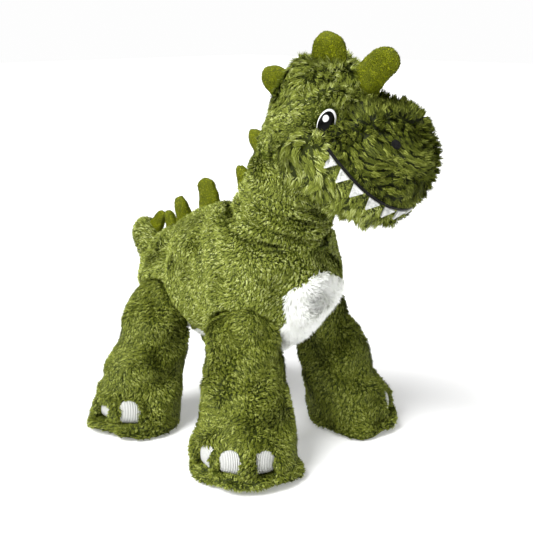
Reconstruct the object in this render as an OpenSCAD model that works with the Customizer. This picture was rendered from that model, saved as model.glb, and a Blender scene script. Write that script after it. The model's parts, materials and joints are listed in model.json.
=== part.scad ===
// Stuffed dinosaur standing on four legs, built from its sewn panels, stuffing and trim.
// Frame: faces -Y, +Z up, X=0 is the middle plane, Z=0 is the floor, Y=0 is the middle of its length.
// Four legs, tail and neck end in balls held in cups of the torso; the head turns on the neck.

/* [Torso] */
// Length of the torso from chest to rump
torso_len = 220; // [160:1:260]
// Radius of the torso at the chest end
torso_r_front = 74; // [45:0.5:85]
// Radius of the torso at the rump end
torso_r_rear = 41; // [30:0.5:65]
// Height of the rump pole of the torso axis
torso_rear_z = 114; // [100:1:150]
// Y of the rump pole of the torso axis
torso_rear_y = 135.7; // [100:1:160]
// Rise of the torso axis towards the chest, degrees
torso_rise = 13; // [0:0.5:20]
// Half width of the white belly panel
belly_half_w = 29; // [15:1:40]
// Height of the top edge of the belly panel on the chest
belly_top_z = 157; // [140:1:190]

/* [Neck and head] */
// Forward lean of the neck, degrees
neck_lean = 26; // [0:1:40]
// Radius of the ball at the foot of the neck
neck_ball_r = 44; // [35:0.5:52]
// Radius of the neck where it meets the head
neck_top_r = 40; // [30:0.5:50]
// Distance along the neck from its pivot to the head
neck_len = 60; // [40:1:90]
// Turn of the head to its left at rest, degrees
head_turn = 20; // [-30:1:30]
// Radius of the skull
skull_r = 41; // [34:0.5:54]
// Height of the skull above the neck
skull_len = 84; // [60:1:110]
// Radius of the snout
snout_r = 48.5; // [30:0.5:52]
// Reach of the snout in front of the neck axis
snout_len = 104; // [60:1:110]
// Height of the snout axis above the neck, along the neck
snout_up = 15; // [0:1:40]
// Rise of the snout axis from square to the neck, degrees
snout_rise = 12; // [0:1:40]
// How much smaller the lower jaw is than the snout
jaw_step = 4; // [2:0.5:8]

/* [Eyes and nostrils] */
// Height of the oval eyes
eye_h = 21; // [12:0.5:28]
// Width of the oval eyes
eye_w = 15; // [8:0.5:22]
// Width of the white rim beside the eyes
rim_w = 2.2; // [1:0.1:4]
// Radius of the nostril patches
nostril_r = 3.2; // [2:0.1:5]

/* [Legs] */
// Half distance between the front hip pivots
hip_front_x = 46; // [36:1:60]
// Half distance between the rear hip pivots
hip_rear_x = 42; // [32:1:60]
// Height of the hip pivots
hip_z = 104; // [80:1:130]
// Y of the front hip pivots
hip_front_y = -34.3; // [-70:1:-20]
// Y of the rear hip pivots
hip_rear_y = 75.7; // [40:1:90]
// Radius of the ball at the top of each leg
hip_r = 30.5; // [25:0.5:40]
// Radius of each leg at the foot
foot_r = 46; // [34:0.5:55]
// Half distance between left and right feet
foot_x = 66; // [50:1:80]
// Y of the middle of the front feet
foot_front_y = -56.3; // [-90:1:-40]
// Y of the middle of the rear feet
foot_rear_y = 83.7; // [40:1:90]
// Turn of the front toes outwards from straight ahead, degrees
toe_out_front = 62; // [0:1:90]
// Turn of the rear toes outwards from straight ahead, degrees
toe_out_rear = 95; // [0:1:120]
// Height of the middle of the claws
claw_z = 22; // [10:0.5:30]
// Radius of the knitted claws
claw_r = 9; // [5:0.5:12]
// Angle between neighbouring claws on a foot, degrees
claw_step = 37; // [20:1:45]

/* [Tail] */
// Radius of the ball at the root of the tail
tail_ball_r = 21; // [15:0.5:28]
// Radius of the tail near its tip
tail_tip_r = 11; // [6:0.5:16]
// Length of the tail from its pivot
tail_len = 50; // [30:1:80]
// Y of the tail pivot
tail_y = 119.7; // [90:1:130]
// Height of the tail pivot
tail_z = 131; // [110:1:170]
// Backward lean of the tail from upright, degrees
tail_lean = 42; // [0:1:90]

/* [Cloth] */
// Thickness of the plush cloth with its pile
plush_t = 4; // [2:0.5:6]
// Thickness of the felt teeth
felt_t = 1.6; // [1:0.1:3]
// Radius of the piping along the mouth
piping_r = 1.1; // [1:0.1:2.5]
// Gap between neighbouring pieces of one body
seam_gap = 0.3; // [0.2:0.05:0.6]
// Gap between a ball and its cup
joint_gap = 0.6; // [0.3:0.05:1]

/* [Hidden] */
$fn = 48;
arc_n = 10;                     // points in the rounded end of a profile
torso_cap_rear = 62;            // length of the rounding at the rump
torso_cap_front = 84;           // length of the rounding at the chest
sole_t = 3;                     // thickness of a sole
snout_cap = 46;                 // length of the rounding at the nose
belly_chest_y = -50;            // the belly panel's top edge ends here
belly_front_y = -18;            // and its side edges run level from here
belly_rear_y = 115;             // to here
belly_edge_z = 94;
foot_sink = 11;                  // the rounding of a foot starts this far under the floor
foot_round = 9;                // rounding of a foot above the floor
far = 400;                      // reach of cutting blocks
neck_pivot = [0, -24.3, 196];
tail_pivot = [0, tail_y, tail_z];
cup_t = 2;                      // the stuffing stands back this far from the cups
neck_room = 13;                 // swing of the neck and tail kept free, degrees
leg_room = 18;                  // swing and taper of a leg kept free, degrees
skin = plush_t + seam_gap;      // from an outer face down to the stuffing
mouth_drop = 34;                // slope of the mouth towards the front, degrees
mouth_z = 4;                   // depth of the mouth plane under the snout axis
mouth_y = 62;                   // mouth plane is set this far along the snout
eye_x = 35;                     // eye centre to the side of the neck axis
eye_forward = 20;               // eye centre in front of the neck axis
eye_up = 50;                    // eye centre above the neck
eye_rise = 12;                  // the eye looks up this far
eye_yaw = 28;                   // the eye looks forward this far
eye_tilt = 12;                  // lean of the oval
eye_bulge = 5;                  // depth of the eye over the cloth
nostril_forward = 81;           // nostrils along the snout
nostril_rise = 40;              // nostrils above the side of the snout
mouth_back = 34;                // corners of the mouth, behind the middle of its plane
claw_in = 3;                    // the claws are set this far into the foot
tooth_w = 10;
tooth_h = 10;
tooth_tip = 1;
halvings = 16;                  // steps of the search for the lip
tooth_turns = [9, 27, 46, 66, 85, 102, 117];

plush_green = [0.43, 0.51, 0.2];
spike_green = [0.52, 0.55, 0.1];
white = [0.93, 0.94, 0.92];
black = [0.05, 0.05, 0.05];
fibre = [0.9, 0.9, 0.88];

// ---- shapes shared by all bodies ----

// half outline of a bag: radius goes from rb to rt over its length, with elliptic ends
function bag(rb, rt, len, eb, et) = concat(
    [[0, 0]],
    eb > 0 ? [for (i = [1:arc_n - 1]) let (a = 90 * i / arc_n)
        [(rb + (rt - rb) * eb * (1 - cos(a)) / len) * sin(a), eb * (1 - cos(a))]] : [],
    [[rb + (rt - rb) * eb / len, eb], [rt - (rt - rb) * et / len, len - et]],
    et > 0 ? [for (i = [1:arc_n - 1]) let (a = 90 * i / arc_n)
        [(rt - (rt - rb) * et * (1 - sin(a)) / len) * cos(a), len - et + et * sin(a)]] : [],
    [[0, len]]);

// outline of a bag moved in by d; flat ends move too
module bag_2d(b, d = 0) {
    translate([0, d])
        polygon(bag(b[0] - d, b[1] - d, b[2] - 2 * d,
                    max(b[3] - d, 0), max(b[4] - d, 0)));
}

// solid bag, moved in by d
module bag_solid(b, d = 0) {
    rotate_extrude() bag_2d(b, d);
}

// cloth of a bag over part of a turn, starting at +X; open_end leaves its foot open
module bag_shell(b, turn = 360, open_end = false) {
    rotate_extrude(angle = turn)
        difference() {
            bag_2d(b);
            bag_2d(b, plush_t);
            if (open_end) square([max(b[0], b[1]) - plush_t, plush_t + 1]);
        }
}

// keeps x > gap/2 (side = 1) or x < -gap/2 (side = -1)
module half(side) {
    intersection() {
        children();
        translate([side > 0 ? seam_gap / 2 : -far - seam_gap / 2, -far / 2, -far / 2])
            cube([far, far, far]);
    }
}

// rounded thumb of a spike, flat across X, standing on its base
module thumb(w, h, t) {
    hull() {
        translate([0, 0, h - 0.36 * w])
            scale([0.8 * t / w, 0.76, 0.72]) sphere(d = w, $fn = 24);
        scale([t / w, 1, 0.5]) sphere(d = w, $fn = 24);
    }
}

// ---- placing ----

module at_torso() {
    translate([0, torso_rear_y, torso_rear_z]) rotate([90 - torso_rise, 0, 0]) children();
}

module at_neck() {
    translate(neck_pivot) rotate([neck_lean, 0, 0]) children();
}

module at_head() {
    at_neck() translate([0, 0, neck_len + joint_gap]) rotate([0, 0, head_turn]) children();
}

module at_snout() {
    at_head() translate([0, 0, snout_up]) rotate([90 - snout_rise, 0, 0]) children();
}

module at_mouth() {
    at_snout() translate([0, -mouth_z, mouth_y]) rotate([-90 + mouth_drop, 0, 0]) children();
}

module at_tail() {
    translate(tail_pivot) rotate([-tail_lean, 0, 0]) children();
}

// leg frame: origin at the hip pivot, +Z up the leg, -Y to the toes
module at_leg(side, front) {
    hip = front ? [hip_front_x, hip_front_y] : [hip_rear_x, hip_rear_y];
    splay = atan((foot_x - hip[0]) / hip_z);
    reach = atan(((front ? foot_front_y : foot_rear_y) - hip[1]) * cos(splay) / hip_z);
    translate([side * hip[0], hip[1], hip_z]) rotate([reach, -side * splay, 0]) children();
}

// ---- outer solids of the bodies ----

torso_bag = [torso_r_rear, torso_r_front, torso_len, torso_cap_rear, torso_cap_front];
neck_bag = [neck_ball_r, neck_top_r, neck_ball_r + neck_len, neck_ball_r, 0];
skull_bag = [neck_top_r, skull_r + 1, skull_len, 0, skull_r];
snout_bag = [snout_r - 3, snout_r, snout_len, 0, snout_cap];
leg_axis = norm([foot_x - hip_front_x, foot_front_y - hip_front_y, hip_z]);
leg_len = leg_axis + hip_r + foot_sink;
leg_top_r = (hip_r - foot_r * hip_r / leg_len) / (1 - hip_r / leg_len);
leg_bag = [foot_r, leg_top_r, leg_len, foot_round, hip_r];
tail_bag = [tail_ball_r, tail_tip_r, tail_ball_r + tail_len, tail_ball_r, tail_tip_r];

module torso_solid(d = 0) { at_torso() bag_solid(torso_bag, d); }
module neck_solid(d = 0) { at_neck() translate([0, 0, -neck_ball_r]) bag_solid(neck_bag, d); }
module skull_solid(d = 0) { at_head() bag_solid(skull_bag, d); }
module snout_solid(d = 0) { at_snout() bag_solid(snout_bag, d); }
module tail_solid(d = 0) { at_tail() translate([0, 0, -tail_ball_r]) bag_solid(tail_bag, d); }

// room for a ball of radius r and for the limb that swings from it along +Z
module swing_room(r, room, more = 0) {
    wide = r + joint_gap + more;
    sphere(wide);
    translate([0, 0, -r / 4])
        cylinder(r1 = wide, r2 = wide + 2.5 * r * tan(room), h = 2.5 * r);
}

// room in the torso for the neck, the tail and the legs of one side
module torso_room(side, more = 0) {
    at_neck() swing_room(neck_ball_r, neck_room, more);
    at_tail() swing_room(tail_ball_r, neck_room, more);
    for (front = [true, false])
        at_leg(side, front) rotate([180, 0, 0]) swing_room(hip_r, leg_room, more);
}

// block that the belly panel is cut with
module belly_block(grow = 0) {
    translate([-belly_half_w - grow, 0, 0]) rotate([90, 0, 90])
        linear_extrude(2 * (belly_half_w + grow))
            polygon([[-far / 2, belly_top_z + grow], [belly_chest_y, belly_top_z + grow],
                     [belly_front_y, belly_edge_z + grow], [belly_rear_y, belly_edge_z + grow],
                     [belly_rear_y, 0], [-far / 2, 0]]);
}

// ---- torso ----

module torso_panel(side) {
    color(plush_green)
        difference() {
            half(side) at_torso() bag_shell(torso_bag);
            torso_room(side);
            belly_block(seam_gap);
        }
}

module torso_right() { torso_panel(-1); }
module torso_left() { torso_panel(1); }

module belly() {
    color(white)
        difference() {
            intersection() {
                at_torso() bag_shell(torso_bag);
                belly_block();
            }
            torso_room(-1);
            torso_room(1);
        }
}

module torso_stuffing() {
    color(fibre)
        difference() {
            torso_solid(skin);
            torso_room(-1, cup_t);
            torso_room(1, cup_t);
        }
}

// ---- neck ----

module neck_panel(side) {
    color(plush_green)
        half(side) at_neck() translate([0, 0, -neck_ball_r]) difference() {
            bag_shell(neck_bag);
            translate([0, 0, neck_ball_r + neck_len - plush_t - 1])
                cylinder(r = neck_top_r - plush_t, h = plush_t + 2);
        }
}

module neck_right() { neck_panel(-1); }
module neck_left() { neck_panel(1); }

module neck_stuffing() {
    color(fibre)
        at_neck() translate([0, 0, -neck_ball_r])
            intersection() {
                bag_solid(neck_bag, skin);
                cylinder(r = far, h = neck_ball_r + neck_len - skin);
            }
}

// ---- head ----

// half space above or below the plane of the mouth, set back by gap
module mouth_side(above, gap) {
    at_mouth() translate([-far / 2, -far / 2, above ? gap : -far - gap]) cube([far, far, far]);
}

module head_panel(side) {
    color(plush_green)
        difference() {
            at_head() half(side) bag_shell(skull_bag, open_end = true);
        }
}

module head_right() { head_panel(-1); }
module head_left() { head_panel(1); }

module head_stuffing() {
    color(fibre)
        skull_solid(skin);
}

module muzzle() {
    color(plush_green)
        difference() {
            at_snout() bag_shell(snout_bag, open_end = true);
            mouth_side(false, -seam_gap);
            skull_and_neck();
        }
}

module muzzle_stuffing() {
    color(fibre)
        difference() {
            snout_solid(skin);
            mouth_side(false, -seam_gap);
            skull_and_neck();
        }
}

// what the snout is cut back to: the skull, and the room in which the neck turns
module skull_and_neck() {
    skull_solid(-seam_gap);
    at_neck() translate([0, 0, -neck_ball_r])
        cylinder(r = neck_ball_r + joint_gap, h = neck_ball_r + neck_len + joint_gap);
}

module jaw_cut() {
    mouth_side(true, -seam_gap);
    skull_and_neck();
}

module jaw() {
    color(plush_green)
        difference() {
            snout_solid(jaw_step);
            snout_solid(jaw_step + plush_t);
            jaw_cut();
        }
}

module jaw_stuffing() {
    color(fibre)
        difference() {
            snout_solid(jaw_step + skin);
            jaw_cut();
        }
}

// black piping around the lip
module mouth_piping() {
    color(black)
        difference() {
            intersection() {
                snout_solid(-piping_r);
                at_mouth() translate([-far / 2, -far / 2, -piping_r]) cube([far, far, 2 * piping_r]);
            }
            snout_solid(-seam_gap);
            mouth_ends();
        }
}

// cuts the mouth line off behind its corners
module mouth_ends() {
    at_mouth() translate([-far / 2, mouth_back, -far / 2]) cube([far, far, far]);
    skull_and_neck();
}

// radius of a bag at z along its axis
function bag_r(b, z) = let (side = b[0] + (b[1] - b[0]) * z / b[2], u = (z - b[2] + b[4]) / b[4])
    z > b[2] ? 0 : side * (u > 0 ? sqrt(1 - u * u) : 1);

// reach of the snout on the mouth plane at angle a from straight ahead, by halving
function lip_reach(a, lo, hi, n) = let (m = (lo + hi) / 2, along = m * cos(a),
        z = mouth_y + along * cos(mouth_drop),
        off = norm([m * sin(a), mouth_z + along * sin(mouth_drop)]))
    n == 0 ? m : off < bag_r(snout_bag, z) ? lip_reach(a, m, hi, n - 1) : lip_reach(a, lo, m, n - 1);

module tooth() {
    rotate([90, 0, 0])
        linear_extrude(felt_t)
            polygon([[-tooth_w / 2, 0], [tooth_w / 2, 0], [tooth_tip / 2, -tooth_h], [-tooth_tip / 2, -tooth_h]]);
}

// felt teeth hanging from the piping, over the jaw
module teeth(side) {
    color(white)
        at_mouth()
            for (a = tooth_turns)
                rotate([0, 0, side * a])
                    translate([0, -lip_reach(a, 0, snout_len, halvings) - seam_gap, -piping_r - seam_gap])
                        tooth();
}

module teeth_right() { teeth(-1); }
module teeth_left() { teeth(1); }

// mirrors a right-hand child for the left
module on_side(side) {
    if (side < 0) children();
    else mirror([1, 0, 0]) children();
}

// frame on the right cheek: +Z out of the head, +X down the face
module at_eye() {
    translate([-eye_x, -eye_forward, eye_up])
        rotate([0, 90 - eye_rise, eye_yaw - 180]) rotate([0, 0, eye_tilt]) children();
}

module eye_shape(grow) {
    at_eye() hull() scale([eye_h / 2 + grow, eye_w / 2 + grow, eye_bulge + grow]) sphere(1, $fn = 28);
}

// white felt rim that shows beside the eye
module eye_white(side) {
    color(white)
        difference() {
            at_head() on_side(side) at_eye()
                hull() translate([0, 0, -1])
                    scale([eye_h / 2 + rim_w, eye_w / 2 + rim_w, eye_bulge]) sphere(1, $fn = 28);
            at_head() on_side(side) eye_shape(seam_gap);
            skull_solid(-seam_gap);
            snout_solid(-seam_gap);
        }
}

module eye(side) {
    color(black)
        difference() {
            at_head() on_side(side) eye_shape(0);
            skull_solid(-seam_gap);
            snout_solid(-seam_gap);
        }
}

module eye_white_right() { eye_white(-1); }
module eye_white_left() { eye_white(1); }
module eye_right() { eye(-1); }
module eye_left() { eye(1); }

module nostril(side) {
    color(black)
        difference() {
            intersection() {
                snout_solid(-seam_gap - felt_t / 2);
                at_snout() on_side(side) translate([0, 0, nostril_forward])
                    rotate([0, 0, 180 - nostril_rise]) rotate([0, 90, 0])
                        cylinder(r = nostril_r, h = far, $fn = 32);
            }
            snout_solid(-seam_gap);
        }
}

module nostril_right() { nostril(-1); }
module nostril_left() { nostril(1); }

// ---- spikes ----

// spike on the skull, at angle a back from the snout over the crown
module skull_spike(up, back, w, h, t, lean) {
    color(spike_green)
        difference() {
            at_head() translate([0, back, up]) rotate([lean, 0, 0]) thumb(w, h, t);
            skull_solid(-seam_gap);
            snout_solid(-seam_gap);
        }
}

module spike_brow() { skull_spike(66, -24, 28, 45, 14, 19); }
module spike_crown() { skull_spike(72, 4, 34, 30, 13, -14); }
module spike_nape() { skull_spike(41, 29, 29, 27, 12, -68); }

module spike_neck() {
    color(spike_green)
        difference() {
            at_neck() translate([0, neck_top_r - 1, 46.5]) rotate([-84, 0, 0]) thumb(25, 17, 11);
            neck_solid(-seam_gap);
        }
}

// upright spike at the back of the neck's foot
module spike_shoulder() {
    color(spike_green)
        difference() {
            at_neck() translate([0, 39, 0]) rotate([-neck_lean, 0, 0]) thumb(17, 20, 9);
            neck_solid(-seam_gap);
        }
}

// spike on the back at distance s along the torso axis from the rump
module back_spike(s, r, w, h, t, lean = 0) {
    color(spike_green)
        difference() {
            at_torso() translate([0, r, s]) rotate([-90 + lean, 0, 0]) thumb(w, h, t);
            torso_solid(-seam_gap);
            at_neck() swing_room(neck_ball_r, neck_room);
        }
}

module spike_back_1() { back_spike(97, 57, 27, 29, 10); }
module spike_back_2() { back_spike(59, 48, 23, 25, 9); }
module spike_back_3() { back_spike(39, 43, 15, 18, 8); }

// ---- legs ----

module leg_outer(side, front, d = 0) {
    at_leg(side, front) translate([0, 0, hip_r - leg_len]) bag_solid(leg_bag, d);
}

module floor_cut(z = 0) {
    translate([-far / 2, -far / 2, z - far]) cube([far, far, far]);
}

module claw_balls(side, front, grow = 0) {
    hip = front ? [hip_front_x, hip_front_y] : [hip_rear_x, hip_rear_y];
    foot_y = front ? foot_front_y : foot_rear_y;
    up = claw_z / hip_z;
    foot = [side * (foot_x + (hip[0] - foot_x) * up), foot_y + (hip[1] - foot_y) * up, 0];
    for (i = [-1:1])
        translate(foot) rotate([0, 0, side * ((front ? toe_out_front : toe_out_rear) + i * claw_step)])
            translate([0, -foot_r + claw_in, claw_z]) sphere(claw_r + grow);
}

module leg_plush(side, front) {
    color(plush_green)
        difference() {
            leg_outer(side, front);
            leg_outer(side, front, plush_t);
            floor_cut();
            claw_balls(side, front, seam_gap);
        }
}

module sole(side, front) {
    color(plush_green)
        difference() {
            leg_outer(side, front, skin);
            floor_cut();
            translate([-far / 2, -far / 2, sole_t]) cube([far, far, far]);
            claw_balls(side, front, seam_gap);
        }
}

module claws(side, front) {
    color(white) claw_balls(side, front);
}

module leg_stuffing(side, front) {
    color(fibre)
        difference() {
            leg_outer(side, front, skin);
            floor_cut(sole_t + seam_gap);
            claw_balls(side, front, seam_gap);
        }
}

module leg_plush_fr() { leg_plush(-1, true); }
module leg_plush_fl() { leg_plush(1, true); }
module leg_plush_rr() { leg_plush(-1, false); }
module leg_plush_rl() { leg_plush(1, false); }
module sole_fr() { sole(-1, true); }
module sole_fl() { sole(1, true); }
module sole_rr() { sole(-1, false); }
module sole_rl() { sole(1, false); }
module claws_fr() { claws(-1, true); }
module claws_fl() { claws(1, true); }
module claws_rr() { claws(-1, false); }
module claws_rl() { claws(1, false); }
module leg_stuffing_fr() { leg_stuffing(-1, true); }
module leg_stuffing_fl() { leg_stuffing(1, true); }
module leg_stuffing_rr() { leg_stuffing(-1, false); }
module leg_stuffing_rl() { leg_stuffing(1, false); }

// ---- tail ----

module tail_plush() {
    color(plush_green)
        difference() {
            tail_solid();
            tail_solid(plush_t);
            at_tail() translate([0, 0, -far]) cylinder(r = tail_ball_r / 2, h = far);
        }
}

module tail_stuffing() { color(fibre) tail_solid(skin); }

module spike_tail() {
    color(spike_green)
        difference() {
            at_tail() translate([0, -15, 33]) rotate([80, 0, 0]) thumb(17, 18, 8);
            tail_solid(-seam_gap);
        }
}

torso_right();
torso_left();
belly();
torso_stuffing();
neck_right();
neck_left();
neck_stuffing();
head_right();
head_left();
head_stuffing();
muzzle();
muzzle_stuffing();
jaw();
jaw_stuffing();
mouth_piping();
teeth_right();
teeth_left();
eye_white_right();
eye_white_left();
eye_right();
eye_left();
nostril_right();
nostril_left();
spike_brow();
spike_crown();
spike_nape();
spike_neck();
spike_shoulder();
spike_back_1();
spike_back_2();
spike_back_3();
leg_plush_fr();
leg_plush_fl();
leg_plush_rr();
leg_plush_rl();
sole_fr();
sole_fl();
sole_rr();
sole_rl();
claws_fr();
claws_fl();
claws_rr();
claws_rl();
leg_stuffing_fr();
leg_stuffing_fl();
leg_stuffing_rr();
leg_stuffing_rl();
tail_plush();
tail_stuffing();
spike_tail();
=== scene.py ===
"""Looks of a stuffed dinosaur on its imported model.

Furry skins, felt teeth, knitted claws and velour spikes.
"""

import json
import logging
import math
from dataclasses import astuple, dataclass, field
from enum import Enum
from typing import Callable, Iterable, Sequence

import bmesh
import bpy
import numpy as np
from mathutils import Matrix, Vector
from mathutils.bvhtree import BVHTree

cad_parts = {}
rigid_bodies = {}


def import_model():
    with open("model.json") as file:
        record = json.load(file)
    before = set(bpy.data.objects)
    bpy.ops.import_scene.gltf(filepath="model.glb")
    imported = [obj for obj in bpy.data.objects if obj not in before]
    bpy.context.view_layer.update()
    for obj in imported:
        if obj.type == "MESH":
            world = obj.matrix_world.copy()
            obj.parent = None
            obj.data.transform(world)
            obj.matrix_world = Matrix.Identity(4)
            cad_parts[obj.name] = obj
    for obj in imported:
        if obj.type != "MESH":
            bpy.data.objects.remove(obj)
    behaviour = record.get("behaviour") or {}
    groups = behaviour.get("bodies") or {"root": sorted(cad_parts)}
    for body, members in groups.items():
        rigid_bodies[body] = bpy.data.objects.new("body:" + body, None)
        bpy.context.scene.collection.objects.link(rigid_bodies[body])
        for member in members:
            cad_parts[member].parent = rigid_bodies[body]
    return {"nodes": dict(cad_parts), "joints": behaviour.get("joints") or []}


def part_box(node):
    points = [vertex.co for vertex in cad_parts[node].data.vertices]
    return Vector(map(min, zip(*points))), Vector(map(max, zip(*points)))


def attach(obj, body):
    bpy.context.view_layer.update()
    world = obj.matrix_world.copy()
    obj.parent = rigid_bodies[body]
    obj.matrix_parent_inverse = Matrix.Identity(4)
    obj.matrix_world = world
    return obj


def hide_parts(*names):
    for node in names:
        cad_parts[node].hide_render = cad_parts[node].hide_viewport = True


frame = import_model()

LOG = logging.getLogger("dinosaur")

SLIVER = 0.0002  # a gap too small to see, in metres
DOUBLES = 1e-6  # points nearer than this are one, in metres
MM2_IN_M2 = 1e6
LEG_SEED = 61
SPIKE_SEED = 101
GRAIN_SHARE = 0.55
DYE_RANGE = (0.55, 0.95)
UP = np.array((0.0, 0.0, 1.0))

Colour = tuple[float, float, float]
Size = tuple[float, float, float]
Rows = np.ndarray


# ---- small helpers -------------------------------------------------------------------------


def tone(red: int, green: int, blue: int) -> Colour:
    """A colour given as 0 to 255 screen values, turned to linear light.

    Args:
        red: The red part.
        green: The green part.
        blue: The blue part.

    Returns:
        The three linear values.
    """
    parts = (red / 255, green / 255, blue / 255)
    return tuple(p / 12.92 if p <= 0.04045 else ((p + 0.055) / 1.055) ** 2.4 for p in parts)


def unit(rows: Rows) -> Rows:
    """Each row scaled to length one."""
    return rows / np.maximum(np.linalg.norm(rows, axis=-1, keepdims=True), 1e-9)


def ease(values: Rows, low: float, high: float) -> Rows:
    """Smooth step from 0 at low to 1 at high.

    Args:
        values: The values to ease.
        low: Where the step starts.
        high: Where it ends; it may be below low.

    Returns:
        Values from 0 to 1.
    """
    part = np.clip((values - low) / (high - low), 0, 1)
    return part * part * (3 - 2 * part)


def wander(places: Rows, size: float, seed: int, waves: int = 9) -> Rows:
    """Smooth random vectors that vary over space, for lumps in the filling and swirls in the pile.

    Args:
        places: Points, one a row, in metres.
        size: Rough width of a lump, in metres.
        seed: Fixes the pattern.
        waves: How many sine waves are summed.

    Returns:
        One vector a point, with parts mostly within -1 to 1.
    """
    dice = np.random.default_rng(seed)
    total = np.zeros_like(places)
    for _ in range(waves):
        way = unit(dice.normal(size=3)) * math.pi / size * dice.uniform(0.6, 1.5)
        swing = unit(dice.normal(size=3))
        total += np.sin(places @ way + dice.uniform(0, 2 * math.pi))[:, None] * swing
    return total * math.sqrt(6.0 / waves)


def joint(name: str) -> dict:
    """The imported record's joint of that name."""
    return next(j for j in frame["joints"] if j["name"] == name)


def middle(node: str) -> Rows:
    """Centre of a CAD node's box."""
    low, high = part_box(node)
    return np.array((low + high) / 2)


def points_of(ob: bpy.types.Object) -> Rows:
    """The places of a mesh object's vertices.

    Args:
        ob: The mesh object.

    Returns:
        One row a vertex.
    """
    flat = np.empty(len(ob.data.vertices) * 3)
    ob.data.vertices.foreach_get("co", flat)
    return flat.reshape(-1, 3)


def normals_of(ob: bpy.types.Object) -> Rows:
    """The outward directions at a mesh object's vertices.

    Args:
        ob: The mesh object.

    Returns:
        One row a vertex.
    """
    flat = np.empty(len(ob.data.vertices) * 3)
    ob.data.vertex_normals.foreach_get("vector", flat)
    return flat.reshape(-1, 3)


def place(ob: bpy.types.Object, places: Rows) -> None:
    """Writes new vertex places to a mesh object."""
    ob.data.vertices.foreach_set("co", places.ravel())
    ob.data.update()


def mark(ob: bpy.types.Object, name: str, values: Rows) -> None:
    """Stores one value or vector a vertex under a name, for the node trees to read.

    Args:
        ob: The mesh object.
        name: The attribute's name.
        values: One number or one row of three numbers a vertex.
    """
    vector = values.ndim == 2
    kind = "FLOAT_VECTOR" if vector else "FLOAT"
    layer = ob.data.attributes.get(name) or ob.data.attributes.new(name, kind, "POINT")
    layer.data.foreach_set("vector" if vector else "value", values.astype(np.float32).ravel())


def marked(ob: bpy.types.Object, name: str) -> Rows:
    """The numbers of a stored vertex attribute.

    Args:
        ob: The mesh object.
        name: The attribute's name.

    Returns:
        One number a vertex.
    """
    values = np.empty(len(ob.data.vertices), np.float32)
    ob.data.attributes[name].data.foreach_get("value", values)
    return values.astype(float)


def settle(ob: bpy.types.Object) -> bpy.types.Object:
    """Turns an object's live modifiers into its plain mesh and takes the modifiers off.

    Args:
        ob: The object with the modifiers.

    Returns:
        The same object, as a plain mesh.
    """
    evaluated = ob.evaluated_get(bpy.context.evaluated_depsgraph_get())
    result = bpy.data.meshes.new_from_object(evaluated)
    ob.modifiers.clear()
    before, ob.data = ob.data, result
    bpy.data.meshes.remove(before)
    ob.data.name = ob.name
    return ob


def new_object(name: str, points: Rows, faces: Sequence[Sequence[int]]) -> bpy.types.Object:
    """A mesh object from points and faces, linked to the scene.

    Args:
        name: The piece's name.
        points: One row a vertex, in metres.
        faces: Vertex numbers of each face.

    Returns:
        The new object.
    """
    mesh = bpy.data.meshes.new(name)
    mesh.from_pydata([tuple(p) for p in points], [], [tuple(f) for f in faces])
    mesh.update()
    ob = bpy.data.objects.new(name, mesh)
    bpy.context.scene.collection.objects.link(ob)
    return ob


def smooth_shade(ob: bpy.types.Object) -> None:
    """Gives every face of a mesh object smooth shading."""
    ob.data.polygons.foreach_set("use_smooth", np.ones(len(ob.data.polygons), bool))
    ob.data.update()


def from_nodes(name: str, nodes: Iterable[str]) -> bpy.types.Object:
    """One closed-up copy of some CAD nodes' meshes.

    Args:
        name: The copy's name.
        nodes: The CAD nodes to copy.

    Returns:
        The joined copy, with its doubles merged.
    """
    points, faces, start = [], [], 0
    for node in nodes:
        source = frame["nodes"][node].data
        flat = np.empty(len(source.vertices) * 3)
        source.vertices.foreach_get("co", flat)
        places = flat.reshape(-1, 3)
        corners = np.empty(len(source.loops), int)
        source.loops.foreach_get("vertex_index", corners)
        kept, which = np.unique(np.round(places, 6), axis=0, return_inverse=True)
        triangles = which.reshape(-1)[corners].reshape(-1, 3)
        sound = (
            (triangles[:, 0] != triangles[:, 1])
            & (triangles[:, 1] != triangles[:, 2])
            & (triangles[:, 0] != triangles[:, 2])
        )
        points.append(kept)
        faces.append(triangles[sound] + start)
        start += len(kept)
    return new_object(name, np.vstack(points), np.vstack(faces))


def remeshed(ob: bpy.types.Object, voxel: float, rounds: int) -> bpy.types.Object:
    """Rebuilds a mesh as one even closed skin and rounds it.

    Args:
        ob: The object to rebuild.
        voxel: Cell size in metres.
        rounds: Smoothing rounds.

    Returns:
        The same object with its new mesh.
    """
    rebuild = ob.modifiers.new("even", "REMESH")
    rebuild.mode = "VOXEL"
    rebuild.voxel_size = voxel
    if rounds:
        soften = ob.modifiers.new("soften", "SMOOTH")
        soften.factor = 0.5
        soften.iterations = rounds
    settle(ob)
    smooth_shade(ob)
    return ob


def twin(ob: bpy.types.Object, name: str) -> bpy.types.Object:
    """A second object with its own copy of a mesh, linked to the scene.

    Args:
        ob: The object to copy.
        name: The copy's name.

    Returns:
        The copy.
    """
    copy = ob.copy()
    copy.data = ob.data.copy()
    copy.name = copy.data.name = name
    bpy.context.scene.collection.objects.link(copy)
    return copy


def tree_of(ob: bpy.types.Object) -> BVHTree:
    """A search tree of a mesh object's faces.

    Args:
        ob: The mesh object.

    Returns:
        The search tree.
    """
    return BVHTree.FromPolygons(
        [v.co for v in ob.data.vertices], [tuple(p.vertices) for p in ob.data.polygons]
    )


def tree_of_nodes(*nodes: str) -> BVHTree:
    """A search tree of some CAD nodes' faces.

    Args:
        nodes: The CAD nodes.

    Returns:
        The search tree.
    """
    probe = from_nodes("probe", nodes)
    tree = tree_of(probe)
    bpy.data.objects.remove(probe)
    return tree


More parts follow.
